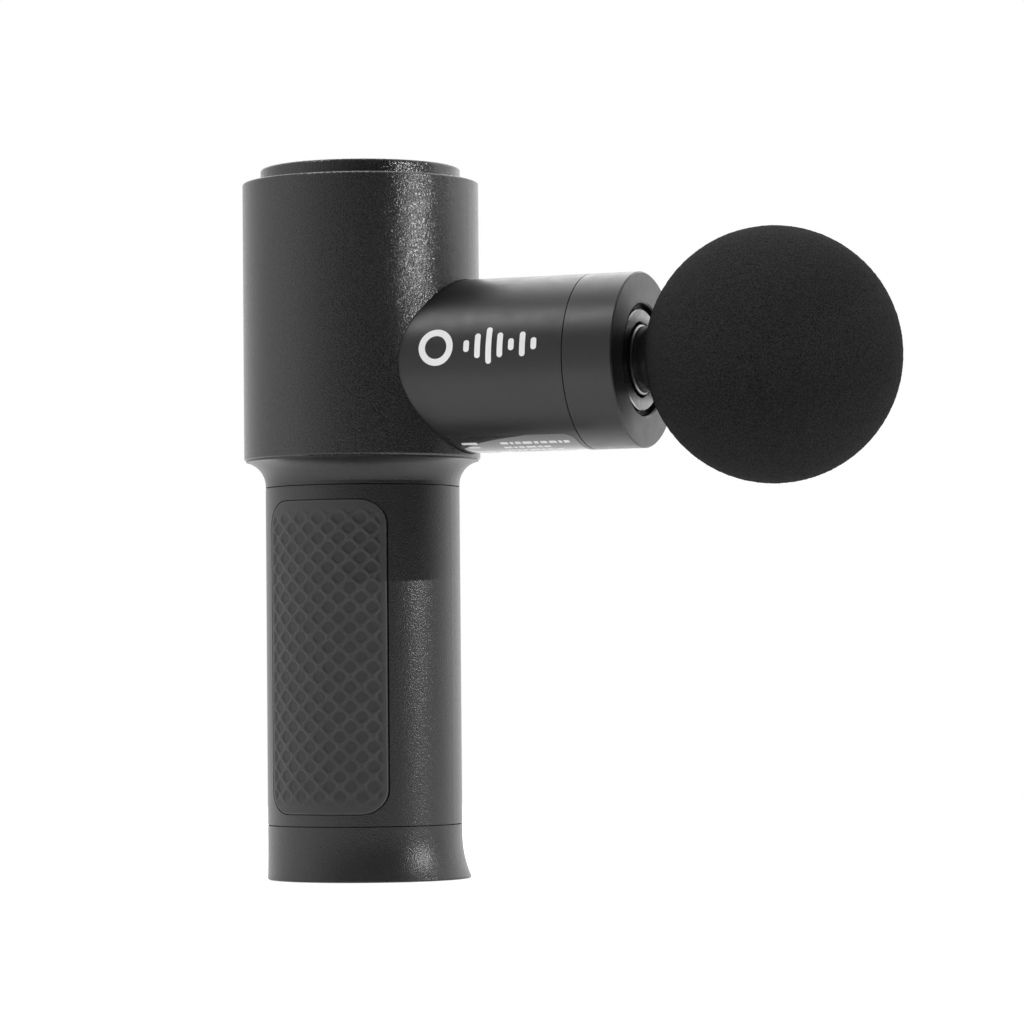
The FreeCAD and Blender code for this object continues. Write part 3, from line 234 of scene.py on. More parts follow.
def plastic(name, colour, roughness=0.4, grain=0.00001, specular=0.5):
    """Moulded plastic with a slight grain."""
    shade = Shade(name, colour, roughness, Specular_IOR_Level=specular)
    shade.tint(shade.noise(0.01, 3), 0.93, 1.07)
    shade.bump(shade.noise(0.0003, 2), grain)
    return shade.material


def metal(name, colour, roughness=0.3, lines=(1, 1, 1), depth=0.000008):
    """Bare metal, brushed along the axes whose stretch is large."""
    shade = Shade(name, colour, roughness, Metallic=1.0)
    shade.tint(shade.noise(0.008, 3), 0.92, 1.06)
    shade.roughen(shade.noise(0.0025, 3), roughness - 0.05, roughness + 0.08)
    shade.bump(shade.noise(0.0003, 2, stretch=lines), depth)
    return shade.material


def windings(name, colour):
    """Enamelled copper wire, laid side by side round each tooth."""
    shade = Shade(name, colour, 0.3, Metallic=0.8, Coat_Weight=0.4)
    wave = shade.node("ShaderNodeTexWave", bands_direction="Z", Scale=700.0, Distortion=0.6)
    shade.link(shade.place, wave.inputs["Vector"])
    shade.tint(wave.outputs["Fac"], 0.6, 1.15)
    shade.bump(wave.outputs["Fac"], 0.0002)
    return shade.material


def circuit_board(name, colour):
    """Green solder mask over faint copper tracks."""
    shade = Shade(name, colour, 0.35, Coat_Weight=0.3)
    shade.tint(shade.cells(0.0022, "SMOOTH_F1"), 0.75, 1.6)
    shade.bump(shade.noise(0.0008, 1), 0.00002)
    return shade.material


PAINTED_REFLECTION_EDGES = (8.8 * MM, 10.6 * MM)  # how far above the barrel's axis the painted reflection on the turned plate turns bright
# Where the painted highlight on the shaft's front chamfer starts.
SHAFT_HIGHLIGHT_START = BARREL_FACE - 0.22 * MM

MATERIALS = {
    "drum": powder_coat("drum_black", (0.0140, 0.0140, 0.0144), 0.25, 0.42, 0.00008),
    "handle": powder_coat("handle_black", (0.0085, 0.0085, 0.0087), 0.335, 0.30, 0.00006),
    "lid": powder_coat("lid_black", (0.012, 0.012, 0.0124), 0.18, 0.42, 0.00009),
    "lens": plastic("lens_smoked", (0.006, 0.006, 0.007), 0.07, 0.0),
    "key": plastic("key_black", (0.030, 0.030, 0.032), 0.38),
    # The grip's dark pits are painted shade, and its pale rims and edge a painted highlight, partly wear.
    "grip": grip_with_wear_and_painted_light("grip_rubber", (0.026, 0.026, 0.0265)),
    "barrel": anodised("barrel_black", (0.0095, 0.0095, 0.0095), 0.33),
    "label": plastic("label_film", (0.006, 0.006, 0.006), 0.05, 0.0, 1.0),
    # The mouth plate's bright wedges and dark band are a painted reflection.
    "face": turned_face_painted_reflection("mouth_turned_painted_reflection", (0.32, 0.32, 0.32)),
    "seal": rubber("seal_rubber", (0.012, 0.012, 0.012), 0.5),
    "polymer": plastic("bush_polymer", (0.70, 0.68, 0.62), 0.35),
    "bronze": metal("bush_bronze", (0.60, 0.38, 0.16), 0.3),
    "cast": metal("cast_aluminium", (0.55, 0.56, 0.58), 0.5, depth=0.00006),
    "machined": metal("machined_aluminium", (0.68, 0.69, 0.71), 0.28, lines=(30, 1, 1)),
    # The shaft's pale front ring is a painted highlight.
    "shaft": end_with_painted_highlight("shaft_anodised", (0.05, 0.05, 0.052), 0.35, SHAFT_HIGHLIGHT_START, 6.0),
    "steel": metal("ground_steel", (0.52, 0.52, 0.54), 0.22, lines=(1, 1, 30)),
    "oxide": metal("black_oxide", (0.035, 0.035, 0.04), 0.35),
    "laminations": metal("laminations", (0.30, 0.31, 0.33), 0.4, lines=(40, 40, 1), depth=0.00004),
    "magnet": metal("magnet_nickel", (0.45, 0.45, 0.46), 0.18),
    "stem": plastic("stem_black", (0.012, 0.012, 0.012), 0.25),
    "windings": windings("copper_windings", (0.62, 0.24, 0.08)),
    "board": circuit_board("circuit_board", (0.01, 0.12, 0.045)),
    "cell": plastic("cell_wrap", (0.03, 0.16, 0.42), 0.3),
    "holder": plastic("holder_white", (0.62, 0.62, 0.60), 0.45),
    "red_lead": rubber("lead_red", (0.45, 0.02, 0.02), 0.45),
    "black_lead": rubber("lead_black", (0.02, 0.02, 0.02), 0.45),
    "foam": foam("ball_foam", (0.0135, 0.0135, 0.0135)),
    "ink": plastic("white_ink", (0.80, 0.80, 0.80), 0.5),
    "faded_ink": plastic("grey_ink", (0.58, 0.58, 0.58), 0.5),
}

NODE_MATERIALS = {
    "drum": ["motor_housing"],
    "handle": ["neck_collar", "handle_shell", "base_cap"],
    "lid": ["top_cap"],
    "lens": ["display_lens", "display_module"],
    "key": ["power_button", "speed_up_button", "speed_down_button", "power_slider"]
    + ["power_switch", "button_switches"],
    "grip": ["grip_pad_right", "grip_pad_left"],
    "barrel": ["barrel_tube", "front_collar"],
    "label": ["underside_label"],
    "face": ["mouth_plate"],
    "seal": ["wiper_seal", "socket_damper", "stem_o_rings"],
    "polymer": ["guide_bush"],
    "bronze": ["wrist_bush"],
    "cast": ["drive_frame"],
    "machined": ["connecting_rod"],
    "shaft": ["piston_shaft"],
    "steel": ["crank", "crank_pin", "wrist_pin", "motor_axle", "rotor_can", "charge_port", "cell_links"],
    "oxide": ["crank_grub_screw", "board_screws", "frame_screws", "base_screws", "charge_board_screws"],
    "laminations": ["stator_core"],
    "magnet": ["rotor_magnets", "big_end_bearing", "motor_bearings", "bearing_inner_rings"],
    "stem": ["attachment_stem"],
    "windings": ["stator_coils"],
    "board": ["control_board", "battery_board", "charge_board"],
    "cell": ["battery_cells"],
    "holder": ["lower_cell_holder", "upper_cell_holder"],
    "red_lead": ["battery_leads"],
    "black_lead": ["phase_leads"],
    "foam": ["foam_ball"],
}


def dress(thing, key):
    """Gives an object one of the materials in all its slots."""
    if not thing.material_slots:
        thing.data.materials.append(MATERIALS[key])
    for slot in thing.material_slots:
        slot.material = MATERIALS[key]


# ---------------------------------------------------------------------------------------------------
# Mesh helpers
# ---------------------------------------------------------------------------------------------------


def add_mesh(name, points, faces, material, body, smooth=True):
    """A new piece from points and faces, which rides on a body."""
    mesh = bpy.data.meshes.new(name)
    mesh.from_pydata([tuple(p) for p in points], [], faces)
    mesh.update()
    if smooth:
        mesh.shade_smooth()
    piece = bpy.data.objects.new(name, mesh)
    bpy.context.scene.collection.objects.link(piece)
    dress(piece, material)
    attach(piece, body)
    return piece


def grid_faces(rows, columns, start=0, flip=False, wrap=False):
    """The quads of a grid of points, row by row. wrap joins the last column to the first."""
    faces = []
    for i in range(rows - 1):
        for j in range(columns if wrap else columns - 1):
            k = (j + 1) % columns
            quad = [start + i * columns + j, start + i * columns + k]
            quad += [start + (i + 1) * columns + k, start + (i + 1) * columns + j]
            faces.append(quad[::-1] if flip else quad)
    return faces


# ---------------------------------------------------------------------------------------------------
# Grip pads: staggered shallow pits with a diamond outline, with painted shade in each pit and a thin pale rim
# that is a painted highlight, partly wear
# ---------------------------------------------------------------------------------------------------

PAD_CORNER = 6.0 * MM
PAD_THICKNESS = 1.3 * MM
PIT_PITCH = np.array([5.46, 4.95]) * MM  # round the handle, and up it
PIT_DEPTH = 0.36 * MM
PIT_RIM = 0.15  # how far down the bowl of a pit its rim lies, as a part of the bowl's depth
SIDE_FADE = (0.8 * MM, 1.8 * MM)  # no pits nearer the edge than this, and full pits from there
END_FADE = (1.4 * MM, 5.2 * MM)
# Tints of the grip: painted shade in the pits, the land's own tone, and a painted highlight, partly wear, on
# the rims and the pad's edge.
PIT_PAINTED_SHADE, LAND_TONE, RIM_HIGHLIGHT_AND_WEAR = 0.30, 0.41, 0.60
PAD_EDGE = 0.3 * MM
PAD_STEP = 0.19 * MM
PATCH_SIZE = 3.5 * MM  # of the patches where the rims are paler
BACK_STEP = 8  # the hidden back of a pad has one column for this many in front


def smoothstep(x, low, high):
    t = np.clip((x - low) / (high - low), 0, 1)
    return t * t * (3 - 2 * t)


def pit_bowl(s, z):
    """0 on the lines between the pits, and 1 in the middle of each pit."""
    up, down = s / PIT_PITCH[0] + z / PIT_PITCH[1], s / PIT_PITCH[0] - z / PIT_PITCH[1]
    return np.abs(np.cos(math.pi * up) * np.cos(math.pi * down))


def pit_painted_light_and_wear(bowl, fade, depth_in, patches):
    """How pale the rubber is: painted shade, darkest in the pits, and a painted highlight, partly wear,
    palest on their rims and round the pad's edge.
    """
    land = 1 - smoothstep(bowl, PIT_RIM, 3 * PIT_RIM)
    rim = np.exp(-(((bowl - PIT_RIM) / (0.45 * PIT_RIM)) ** 2)) * fade * patches
    edge = 1 - smoothstep(depth_in, 0.25 * MM, 0.5 * MM)
    flat = PIT_PAINTED_SHADE + (LAND_TONE - PIT_PAINTED_SHADE) * np.maximum(land, 1 - fade)
    return flat + (RIM_HIGHLIGHT_AND_WEAR - flat) * np.maximum(rim, edge)


def grip_pad(node, side):
    """A grip pad on the side of the handle where y has the sign of side."""
    low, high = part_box(node)
    outer = max(abs(low.y), abs(high.y))
    inner = outer - PAD_THICKNESS
    centre, half, bottom, top = (low.x + high.x) / 2, (high.x - low.x) / 2, low.z, high.z
    corner_turns = np.linspace(0, math.pi / 2, 26)
    drops = PAD_CORNER * (1 - np.cos(corner_turns))
    widths = half - PAD_CORNER + PAD_CORNER * np.sin(corner_turns)
    middle = np.arange(bottom + PAD_CORNER, top - PAD_CORNER, PAD_STEP)[1:]
    heights = np.concatenate([bottom + drops, middle, (top - drops)[::-1]])
    half_widths = np.concatenate([widths, np.full(len(middle), half), widths[::-1]])
    columns = int(2 * half / PAD_STEP)
    across = np.linspace(-1, 1, columns)
    flat_x = half_widths[:, None] * across[None, :]
    x = centre + flat_x
    z = np.repeat(heights[:, None], columns, axis=1)
    s = outer * (np.arcsin(x / outer) - math.asin(centre / outer))
    # Distance inside the rounded outline.
    qx = np.abs(flat_x) - (half - PAD_CORNER)
    qz = np.abs(z - (bottom + top) / 2) - ((top - bottom) / 2 - PAD_CORNER)
    outside = np.hypot(np.maximum(qx, 0), np.maximum(qz, 0))
    inside = np.minimum(np.maximum(qx, qz), 0)
    depth_in = PAD_CORNER - outside - inside
    end_in = np.minimum(z - bottom, top - z)
    fade = smoothstep(depth_in, *SIDE_FADE) * smoothstep(end_in, *END_FADE)
    bowl = pit_bowl(s, z - (bottom + top) / 2)
    relief = smoothstep(bowl, 0.4 * PIT_RIM, 3.4 * PIT_RIM) * fade
    rounding = np.clip(PAD_EDGE - depth_in, 0, PAD_EDGE)
    fall = PAD_EDGE - np.sqrt(np.maximum(PAD_EDGE**2 - rounding**2, 0))
    radius = outer - PIT_DEPTH * relief - fall
    angle = np.arcsin(x / outer)
    front = np.stack([radius * np.sin(angle), side * radius * np.cos(angle), z], -1)
    kept = list(range(0, columns - 1, BACK_STEP)) + [columns - 1]
    back = np.stack([inner * np.sin(angle), side * inner * np.cos(angle), z], -1)[:, kept]
    rows, few = len(heights), len(kept)
    first = rows * columns
    faces = grid_faces(rows, columns, 0) + grid_faces(rows, few, first, flip=True)
    for row, turn in ((0, 1), (rows - 1, -1)):
        for k in range(few - 1):
            edge = [row * columns + j for j in range(kept[k], kept[k + 1] + 1)]
            faces.append((edge + [first + row * few + k + 1, first + row * few + k])[::-turn])
    for i in range(rows - 1):
        for column, far, turn in ((0, 0, -1), (columns - 1, few - 1, 1)):
            edge = [i * columns + column, (i + 1) * columns + column]
            faces.append((edge + [first + (i + 1) * few + far, first + i * few + far])[::-turn])
    if side > 0:
        faces = [face[::-1] for face in faces]
    points = np.concatenate([front.reshape(-1, 3), back.reshape(-1, 3)])
    piece = add_mesh(f"{node}_pitted", points, faces, "grip", "gun_body")
    patches = [noise.noise(Vector(point) / PATCH_SIZE) for point in front.reshape(-1, 3)]
    patches = np.clip(0.4 + 1.4 * np.array(patches).reshape(bowl.shape), 0, 1)
    wear_and_painted_light = piece.data.attributes.new("wear_and_painted_light", "FLOAT", "POINT")
    # Painted shade in the pits and a painted highlight, partly wear, on the rims and edge, kept as a mesh
    # attribute.
    shade_highlight_and_wear = pit_painted_light_and_wear(bowl, fade, depth_in, patches)
    wear_and_painted_light.data.foreach_set("value", np.concatenate([shade_highlight_and_wear.ravel(), np.full(back.size // 3, LAND_TONE)]))
    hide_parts(node)
    return piece


# ---------------------------------------------------------------------------------------------------
# Foam ball: turned about the barrel's axis, with a grainy skin and a rounded lip round the stem
# ---------------------------------------------------------------------------------------------------

STEM_COLLAR = 8.2 * MM  # radius of the foam's bore
BALL_LIP = 0.9 * MM
BALL_GRAIN = 0.15 * MM
BALL_STEP = 0.42 * MM
BALL_COLUMNS = 430
BARB_BACK, BARB_FRONT, BARB_RADIUS = 92.0 * MM, 95.0 * MM, 12.0 * MM  # the stem's flange in the foam


def ball_profile():
    """(x from the ball's centre, radius) from the bottom of the bore, out over the lip and round to the tip.

    Also returns the number of points before the grainy skin starts."""
    points = [(STEM_FRONT, 0.001 * MM), (STEM_FRONT, STEM_COLLAR), (BARB_FRONT, STEM_COLLAR)]
    points += [(BARB_FRONT, BARB_RADIUS), (BARB_BACK, BARB_RADIUS), (BARB_BACK, STEM_COLLAR)]
    points = [(x - BALL_CENTRE.x, r) for x, r in points]
    # The lip is an arc from the bore's wall, facing the axis, round to where it touches the ball.
    lip_r = STEM_COLLAR + BALL_LIP
    lip_x = -math.sqrt((BALL_RADIUS - BALL_LIP) ** 2 - lip_r**2)
    touch = math.atan2(lip_r, lip_x)
    for a in np.linspace(1.5 * math.pi, touch, 9):
        points.append((lip_x + BALL_LIP * math.cos(a), lip_r + BALL_LIP * math.sin(a)))
    inner = len(points) - 3
    steps = int(BALL_RADIUS * touch / BALL_STEP)
    for a in np.linspace(touch, 0, steps)[1:-1]:
        points.append((BALL_RADIUS * math.cos(a), BALL_RADIUS * math.sin(a)))
    return np.array(points), inner


def foam_grain(p):
    """Height of the foam's skin, about -1 to 1, with small pores."""
    coarse = noise.noise(p / (1.1 * MM))
    fine = noise.noise(p / (0.55 * MM))
    return 0.7 * fine + 0.5 * coarse - 0.3


def foam_ball():
    """The ball's skin, with the bore that holds the stem."""
    profile, inner = ball_profile()
    rows, columns = len(profile), BALL_COLUMNS
    angle = np.linspace(0, 2 * math.pi, columns, endpoint=False)
    x = np.repeat(profile[:, :1], columns, axis=1)
    y = profile[:, 1:] * np.cos(angle)
    z = profile[:, 1:] * np.sin(angle)
    points = np.stack([x, y, z], -1).reshape(-1, 3)
    for k in range(inner * columns, len(points)):
        points[k] *= 1 + BALL_GRAIN * foam_grain(Vector(points[k])) / BALL_RADIUS
    ends = [[profile[0][0], 0, 0], [BALL_RADIUS - 0.3 * BALL_GRAIN, 0, 0]]
    first_end = len(points)
    points = np.concatenate([points, ends]) + np.array(BALL_CENTRE)
    faces = grid_faces(rows, columns, wrap=True)
    last_row = (rows - 1) * columns
    for j in range(columns):
        k = (j + 1) % columns
        faces.append([k, j, first_end])
        faces.append([last_row + j, last_row + k, first_end + 1])
    piece = add_mesh("foam_ball_skin", points, faces, "foam", "head")
    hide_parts("foam_ball")
    return piece


# ---------------------------------------------------------------------------------------------------
# Printed marks: plain rings and bars, with the thickness of ink
# ---------------------------------------------------------------------------------------------------

INK = 0.03 * MM


def rounded_bar(x0, y0, x1, y1, corner, step=0.5 * MM):
    """A grid over a rounded rectangle: (rows of points, rows, columns)."""
    turns = np.linspace(0, math.pi / 2, 7)
    drops = corner * (1 - np.cos(turns))
    inset = corner * (1 - np.sin(turns))
    middle = np.linspace(y0 + corner, y1 - corner, max(2, int((y1 - y0 - 2 * corner) / step) + 1))[1:-1]
    ys = np.concatenate([y0 + drops, middle, (y1 - drops)[::-1]])
    insets = np.concatenate([inset, np.zeros(len(middle)), inset[::-1]])
    columns = max(3, int((x1 - x0) / step) + 1)
    across = np.linspace(0, 1, columns)
    xs = (x0 + insets)[:, None] + (x1 - x0 - 2 * insets)[:, None] * across
    return np.stack([xs, np.repeat(ys[:, None], columns, axis=1)], -1), len(ys), columns, False


def ring_arc(cx, cy, inner, outer, start=0.0, sweep=2 * math.pi):
    """A grid over a ring or part of one. Angles run anticlockwise from the x axis."""
    closed = sweep > 2 * math.pi - 1e-6
    columns = 96
    angles = start + np.linspace(0, sweep, columns, endpoint=not closed)
    radii = np.linspace(outer, inner, 3)
    xs = cx + radii[:, None] * np.cos(angles)
    ys = cy + radii[:, None] * np.sin(angles)
    return np.stack([xs, ys], -1), 3, columns, closed


def printed(name, shapes, on_surface, material, body):
    """Prints flat shapes on a surface: on_surface turns (x, y, height) into points in the row frame."""
    points, faces = [], []
    for grid, rows, columns, closed in shapes:
        flat = grid.reshape(-1, 2)
        start = len(points)
        for height in (INK, 0.0):
            points += [on_surface(x, y, height) for x, y in flat]
        shift = rows * columns
        faces += grid_faces(rows, columns, start, wrap=closed)
        faces += grid_faces(rows, columns, start + shift, flip=True, wrap=closed)
        edges = []
        if closed:
            for row in (0, rows - 1):
                loop = [start + row * columns + j for j in range(columns)]
                pairs = list(zip(loop, loop[1:] + loop[:1]))
                edges += pairs if row == 0 else [(b, a) for a, b in pairs]
        else:
            rim = list(range(columns)) + [i * columns + columns - 1 for i in range(1, rows)]
            rim += [(rows - 1) * columns + j for j in range(columns - 2, -1, -1)]
            rim += [i * columns for i in range(rows - 2, 0, -1)]
            rim = [start + r for r in rim]
            edges += list(zip(rim, rim[1:] + rim[:1]))
        faces += [[b, a, a + shift, b + shift] for a, b in edges]
    piece = add_mesh(name, points, faces, material, body, smooth=False)
    return piece


def on_barrel(middle_angle):
    """A mapping that lays (x along the barrel, y round it) on the camera side, about an angle above level."""

    def place(x, y, height):
        angle = middle_angle + y / BARREL_RADIUS
        r = BARREL_RADIUS + height
        return (x, -r * math.cos(angle), BARREL_AXIS + r * math.sin(angle))

    return place


def on_label(x, y, height):
    """A mapping that lays (x along the barrel, y round it) on the label under the barrel."""
    angle = -math.pi / 2 + y / BARREL_RADIUS
    r = BARREL_RADIUS - 0.05 * MM + height
    return (x, r * math.cos(angle), BARREL_AXIS + r * math.sin(angle))


def flat_at(z, cx=0.0, cy=0.0):
    """A mapping onto a level surface seen from above with the gun's front at the top."""

    def place(x, y, height):
        return (cx + y, cy - x, z + height)

    return place


RING_MIDDLE, RING_INNER, RING_OUTER = 30.5 * MM, 2.9 * MM, 4.6 * MM
BARS_START, BAR_PITCH, BAR_WIDTH, BAR_CORNER = 38.0 * MM, 3.0 * MM, 1.5 * MM, 0.7 * MM
BAR_HEIGHTS = (3.0, 6.2, 9.2, 6.2, 3.0, 6.2, 3.0)  # millimetres
MARK_ANGLE = 9  # degrees above the barrel's side


def barrel_mark():
    """A plain ring and a row of bars on the barrel's side."""
    shapes = [ring_arc(RING_MIDDLE, 0, RING_INNER, RING_OUTER)]
    for n, height in enumerate(BAR_HEIGHTS):
        x = BARS_START + n * BAR_PITCH
        shapes.append(rounded_bar(x, -height / 2 * MM, x + BAR_WIDTH, height / 2 * MM, BAR_CORNER))
    mark = printed("barrel_mark", shapes, on_barrel(math.radians(MARK_ANGLE)), "ink", "gun_body")


# Rows of dashes on the label, as (back, side, front, side) in millimetres along and across it.
LABEL_ROWS = [
    (42.0, -9.4, 61.0, -8.1),
    (42.0, -6.6, 55.0, -5.4),
    (42.0, -4.2, 58.0, -3.0),
    (42.0, -1.8, 53.0, -0.6),
    (42.0, 0.6, 59.5, 1.8),
    (33.5, 4.4, 59.5, 5.4),
    (33.5, 7.0, 51.0, 8.0),
]
# A plain bar and a plain square at the label's back.
LABEL_BLOCKS = [(31.6, -9.6, 35.8, -8.4), (32.6, -7.2, 35.8, -6.0), (33.2, -3.6, 38.2, 1.4)]
DASH_LENGTHS = (2.1, 0.9, 1.5, 2.6, 1.2, 1.8)
DASH_GAP = 0.5


def dashes(back, side, front, far_side):
    """One row of dashes whose lengths repeat."""
    made = []
    start = back
    for n in range(40):
        end = min(start + DASH_LENGTHS[n % len(DASH_LENGTHS)], front)
        if end - start < 0.6:
            break
        made.append((start, side, end, far_side))
        start = end + DASH_GAP
    return made


def label_bars():
    """Plain bars and dashes on the label."""
    bars = LABEL_BLOCKS + [dash for row in LABEL_ROWS for dash in dashes(*row)]
    rows = [rounded_bar(x0 * MM, y0 * MM, x1 * MM, y1 * MM, 0.25 * MM) for x0, y0, x1, y1 in bars]
    label = printed("label_bars", rows, on_label, "faded_ink", "gun_body")


def key_symbols():
    """Plain symbols on the three keys."""
    thin = 0.45 * MM
    centre = {}
    for key in ("power_button", "speed_up_button", "speed_down_button"):
        low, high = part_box(key)
        centre[key] = ((low.x + high.x) / 2, (low.y + high.y) / 2)
    power = [ring_arc(0, 0, 1.5 * MM, 1.5 * MM + thin, math.radians(120), math.radians(300))]
    power.append(rounded_bar(-thin / 2, 0.5 * MM, thin / 2, 2.3 * MM, thin * 0.45, 0.3 * MM))
    across = rounded_bar(-1.8 * MM, -thin / 2, 1.8 * MM, thin / 2, thin * 0.45, 0.3 * MM)
    above = rounded_bar(-thin / 2, thin / 2 + 0.01 * MM, thin / 2, 1.8 * MM, thin * 0.2, 0.3 * MM)
    below = rounded_bar(-thin / 2, -1.8 * MM, thin / 2, -thin / 2 - 0.01 * MM, thin * 0.2, 0.3 * MM)
    for key, shapes in (
        ("power_button", power),
        ("speed_up_button", [across, above, below]),
        ("speed_down_button", [across]),
    ):
        symbol = printed(f"{key}_symbol", shapes, flat_at(KEY_TOP, *centre[key]), "ink", key)


def lens_prints():
    """A row of dots and the display's thin frame, on the lens."""
    dots = [ring_arc(4.0 * n * MM, 0, 0.05 * MM, 0.55 * MM) for n in (-2, -1, 0, 1, 2)]
    level = printed("level_dots", dots, flat_at(LENS_TOP, 18.4 * MM, 0), "ink", "gun_body")
    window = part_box("display_module")
    half_x, half_y = (window[1].x - window[0].x) / 2, window[1].y
    frame_line = 0.25 * MM
    side_end = half_x - 1.3 * frame_line
    corner = 0.1 * MM
    border = [
        rounded_bar(-half_y, -half_x, half_y, -half_x + frame_line, corner),
        rounded_bar(-half_y, half_x - frame_line, half_y, half_x, corner),
        rounded_bar(-half_y, -side_end, -half_y + frame_line, side_end, corner),
        rounded_bar(half_y - frame_line, -side_end, half_y, side_end, corner),
    ]
    on_window = flat_at(LENS_TOP, (window[0].x + window[1].x) / 2, 0)
    screen = printed("display_border", border, on_window, "key", "gun_body")


# ---------------------------------------------------------------------------------------------------
# Camera, floor and lights
# ---------------------------------------------------------------------------------------------------

CAMERA_AZIMUTH = 25.46  # degrees that the camera stands to the barrel's side of the handle's broadside
CAMERA_DISTANCE = 1.097
CAMERA_HEIGHT = 0.0511
CAMERA_UP = 2.156  # degrees that it looks up, to the right of the handle, and leans
CAMERA_RIGHT = 1.978
CAMERA_LEAN = 0.517
CAMERA_LENS = 151.9  # mm on a 36 mm sensor


def turned_by(vector, degrees):
    return Matrix.Rotation(math.radians(degrees), 3, "Z") @ vector


def add_camera():
    up_angle, right_angle = math.radians(CAMERA_UP), math.radians(CAMERA_RIGHT)
    level = math.cos(up_angle)
    forward = Vector((math.sin(right_angle) * level, math.cos(right_angle) * level, math.sin(up_angle)))
    right = forward.cross(Vector((0, 0, 1))).normalized()
    up = right.cross(forward)
    lean = math.radians(CAMERA_LEAN)
    leaning_right = right * math.cos(lean) - up * math.sin(lean)
    leaning_up = up * math.cos(lean) + right * math.sin(lean)
    axes = Matrix((leaning_right, leaning_up, -forward)).transposed()
    axes = Matrix.Rotation(math.radians(CAMERA_AZIMUTH), 3, "Z") @ axes
    data = bpy.data.cameras.new("camera")
    data.lens = CAMERA_LENS
    data.sensor_width = 36.0
    data.clip_start, data.clip_end = 0.05, 50.0
    camera = bpy.data.objects.new("camera", data)
    place = turned_by(Vector((0, -CAMERA_DISTANCE, CAMERA_HEIGHT)), CAMERA_AZIMUTH)
    camera.matrix_world = Matrix.Translation(place) @ axes.to_4x4()
    bpy.context.scene.collection.objects.link(camera)
    bpy.context.scene.camera = camera


def toward(right_of_camera, elevation):
    """The direction from the object at an angle to the right of the camera's side, above level."""
    a, e = math.radians(CAMERA_AZIMUTH + right_of_camera), math.radians(elevation)
    return Vector((math.sin(a) * math.cos(e), -math.cos(a) * math.cos(e), math.sin(e)))


def place_lamp(data, power, right_of_camera, elevation, distance, aim):
    """Puts a lamp at a distance from the point it aims at."""
    data.energy = power
    lamp = bpy.data.objects.new(data.name, data)
    lamp.location = Vector(aim) + toward(right_of_camera, elevation) * distance
    lamp.rotation_mode = "QUATERNION"
    lamp.rotation_quaternion = (Vector(aim) - lamp.location).to_track_quat("-Z", "Y")
    bpy.context.scene.collection.objects.link(lamp)


def softbox(name, right_of_camera, elevation, distance, aim, size, power):
    """A square soft panel that faces a point on the object."""
    data = bpy.data.lights.new(name, "AREA")
    data.shape = "RECTANGLE"
    data.size, data.size_y = size, size
    place_lamp(data, power, right_of_camera, elevation, distance, aim)


def spot(name, right_of_camera, elevation, distance, aim, cone, blend, radius, power):
    """A snooted spot that lights a round patch about the point it aims at."""
    data = bpy.data.lights.new(name, "SPOT")
    data.spot_size = math.radians(cone)
    data.spot_blend = blend
    data.shadow_soft_size = radius
    place_lamp(data, power, right_of_camera, elevation, distance, aim)


# Brightness of the room at angles to the right of the camera, near the horizon and overhead.
ROOM_LOW = [(-180, 1.3), (-146, 1.05), (-110, 1.1), (-88, 1.25), (-70, 1.25), (-50, 0.86)]
ROOM_LOW += [(-34, 0.56), (-18, 0.32), (0, 0.12), (30, 0.05), (74, 0.08), (88, 0.4)]
ROOM_LOW += [(100, 0.8), (116, 1.35), (132, 1.7), (160, 1.5), (180, 1.3)]
ROOM_HIGH = [(-180, 3.2), (-120, 1.2), (-75, 0.85), (-45, 0.36)]
ROOM_HIGH += [(0, 0.45), (45, 0.4), (100, 1.2), (180, 3.2)]
ROOM_PEAK = 4.0  # both lists are scaled by this to fit a colour ramp
ROOM_TURN = (0.16, 0.52)  # sine of the elevations where one list hands over to the other


def ramp_of(tree, stops, angle):
    """A colour ramp of brightness by angle, where angle runs from 0 to 1 for -180 to 180 degrees."""
    ramp = tree.nodes.new("ShaderNodeValToRGB")
    elements = ramp.color_ramp.elements
    while len(elements) > 1:
        elements.remove(elements[-1])
    for k, (degrees, level) in enumerate(stops):
        where = degrees / 360 + 0.5
        element = elements[0] if k == 0 else elements.new(where)
        element.position = where
        grey = level / ROOM_PEAK
        element.color = (grey, grey, grey, 1)
    tree.links.new(angle, ramp.inputs["Fac"])
    return ramp.outputs["Color"]


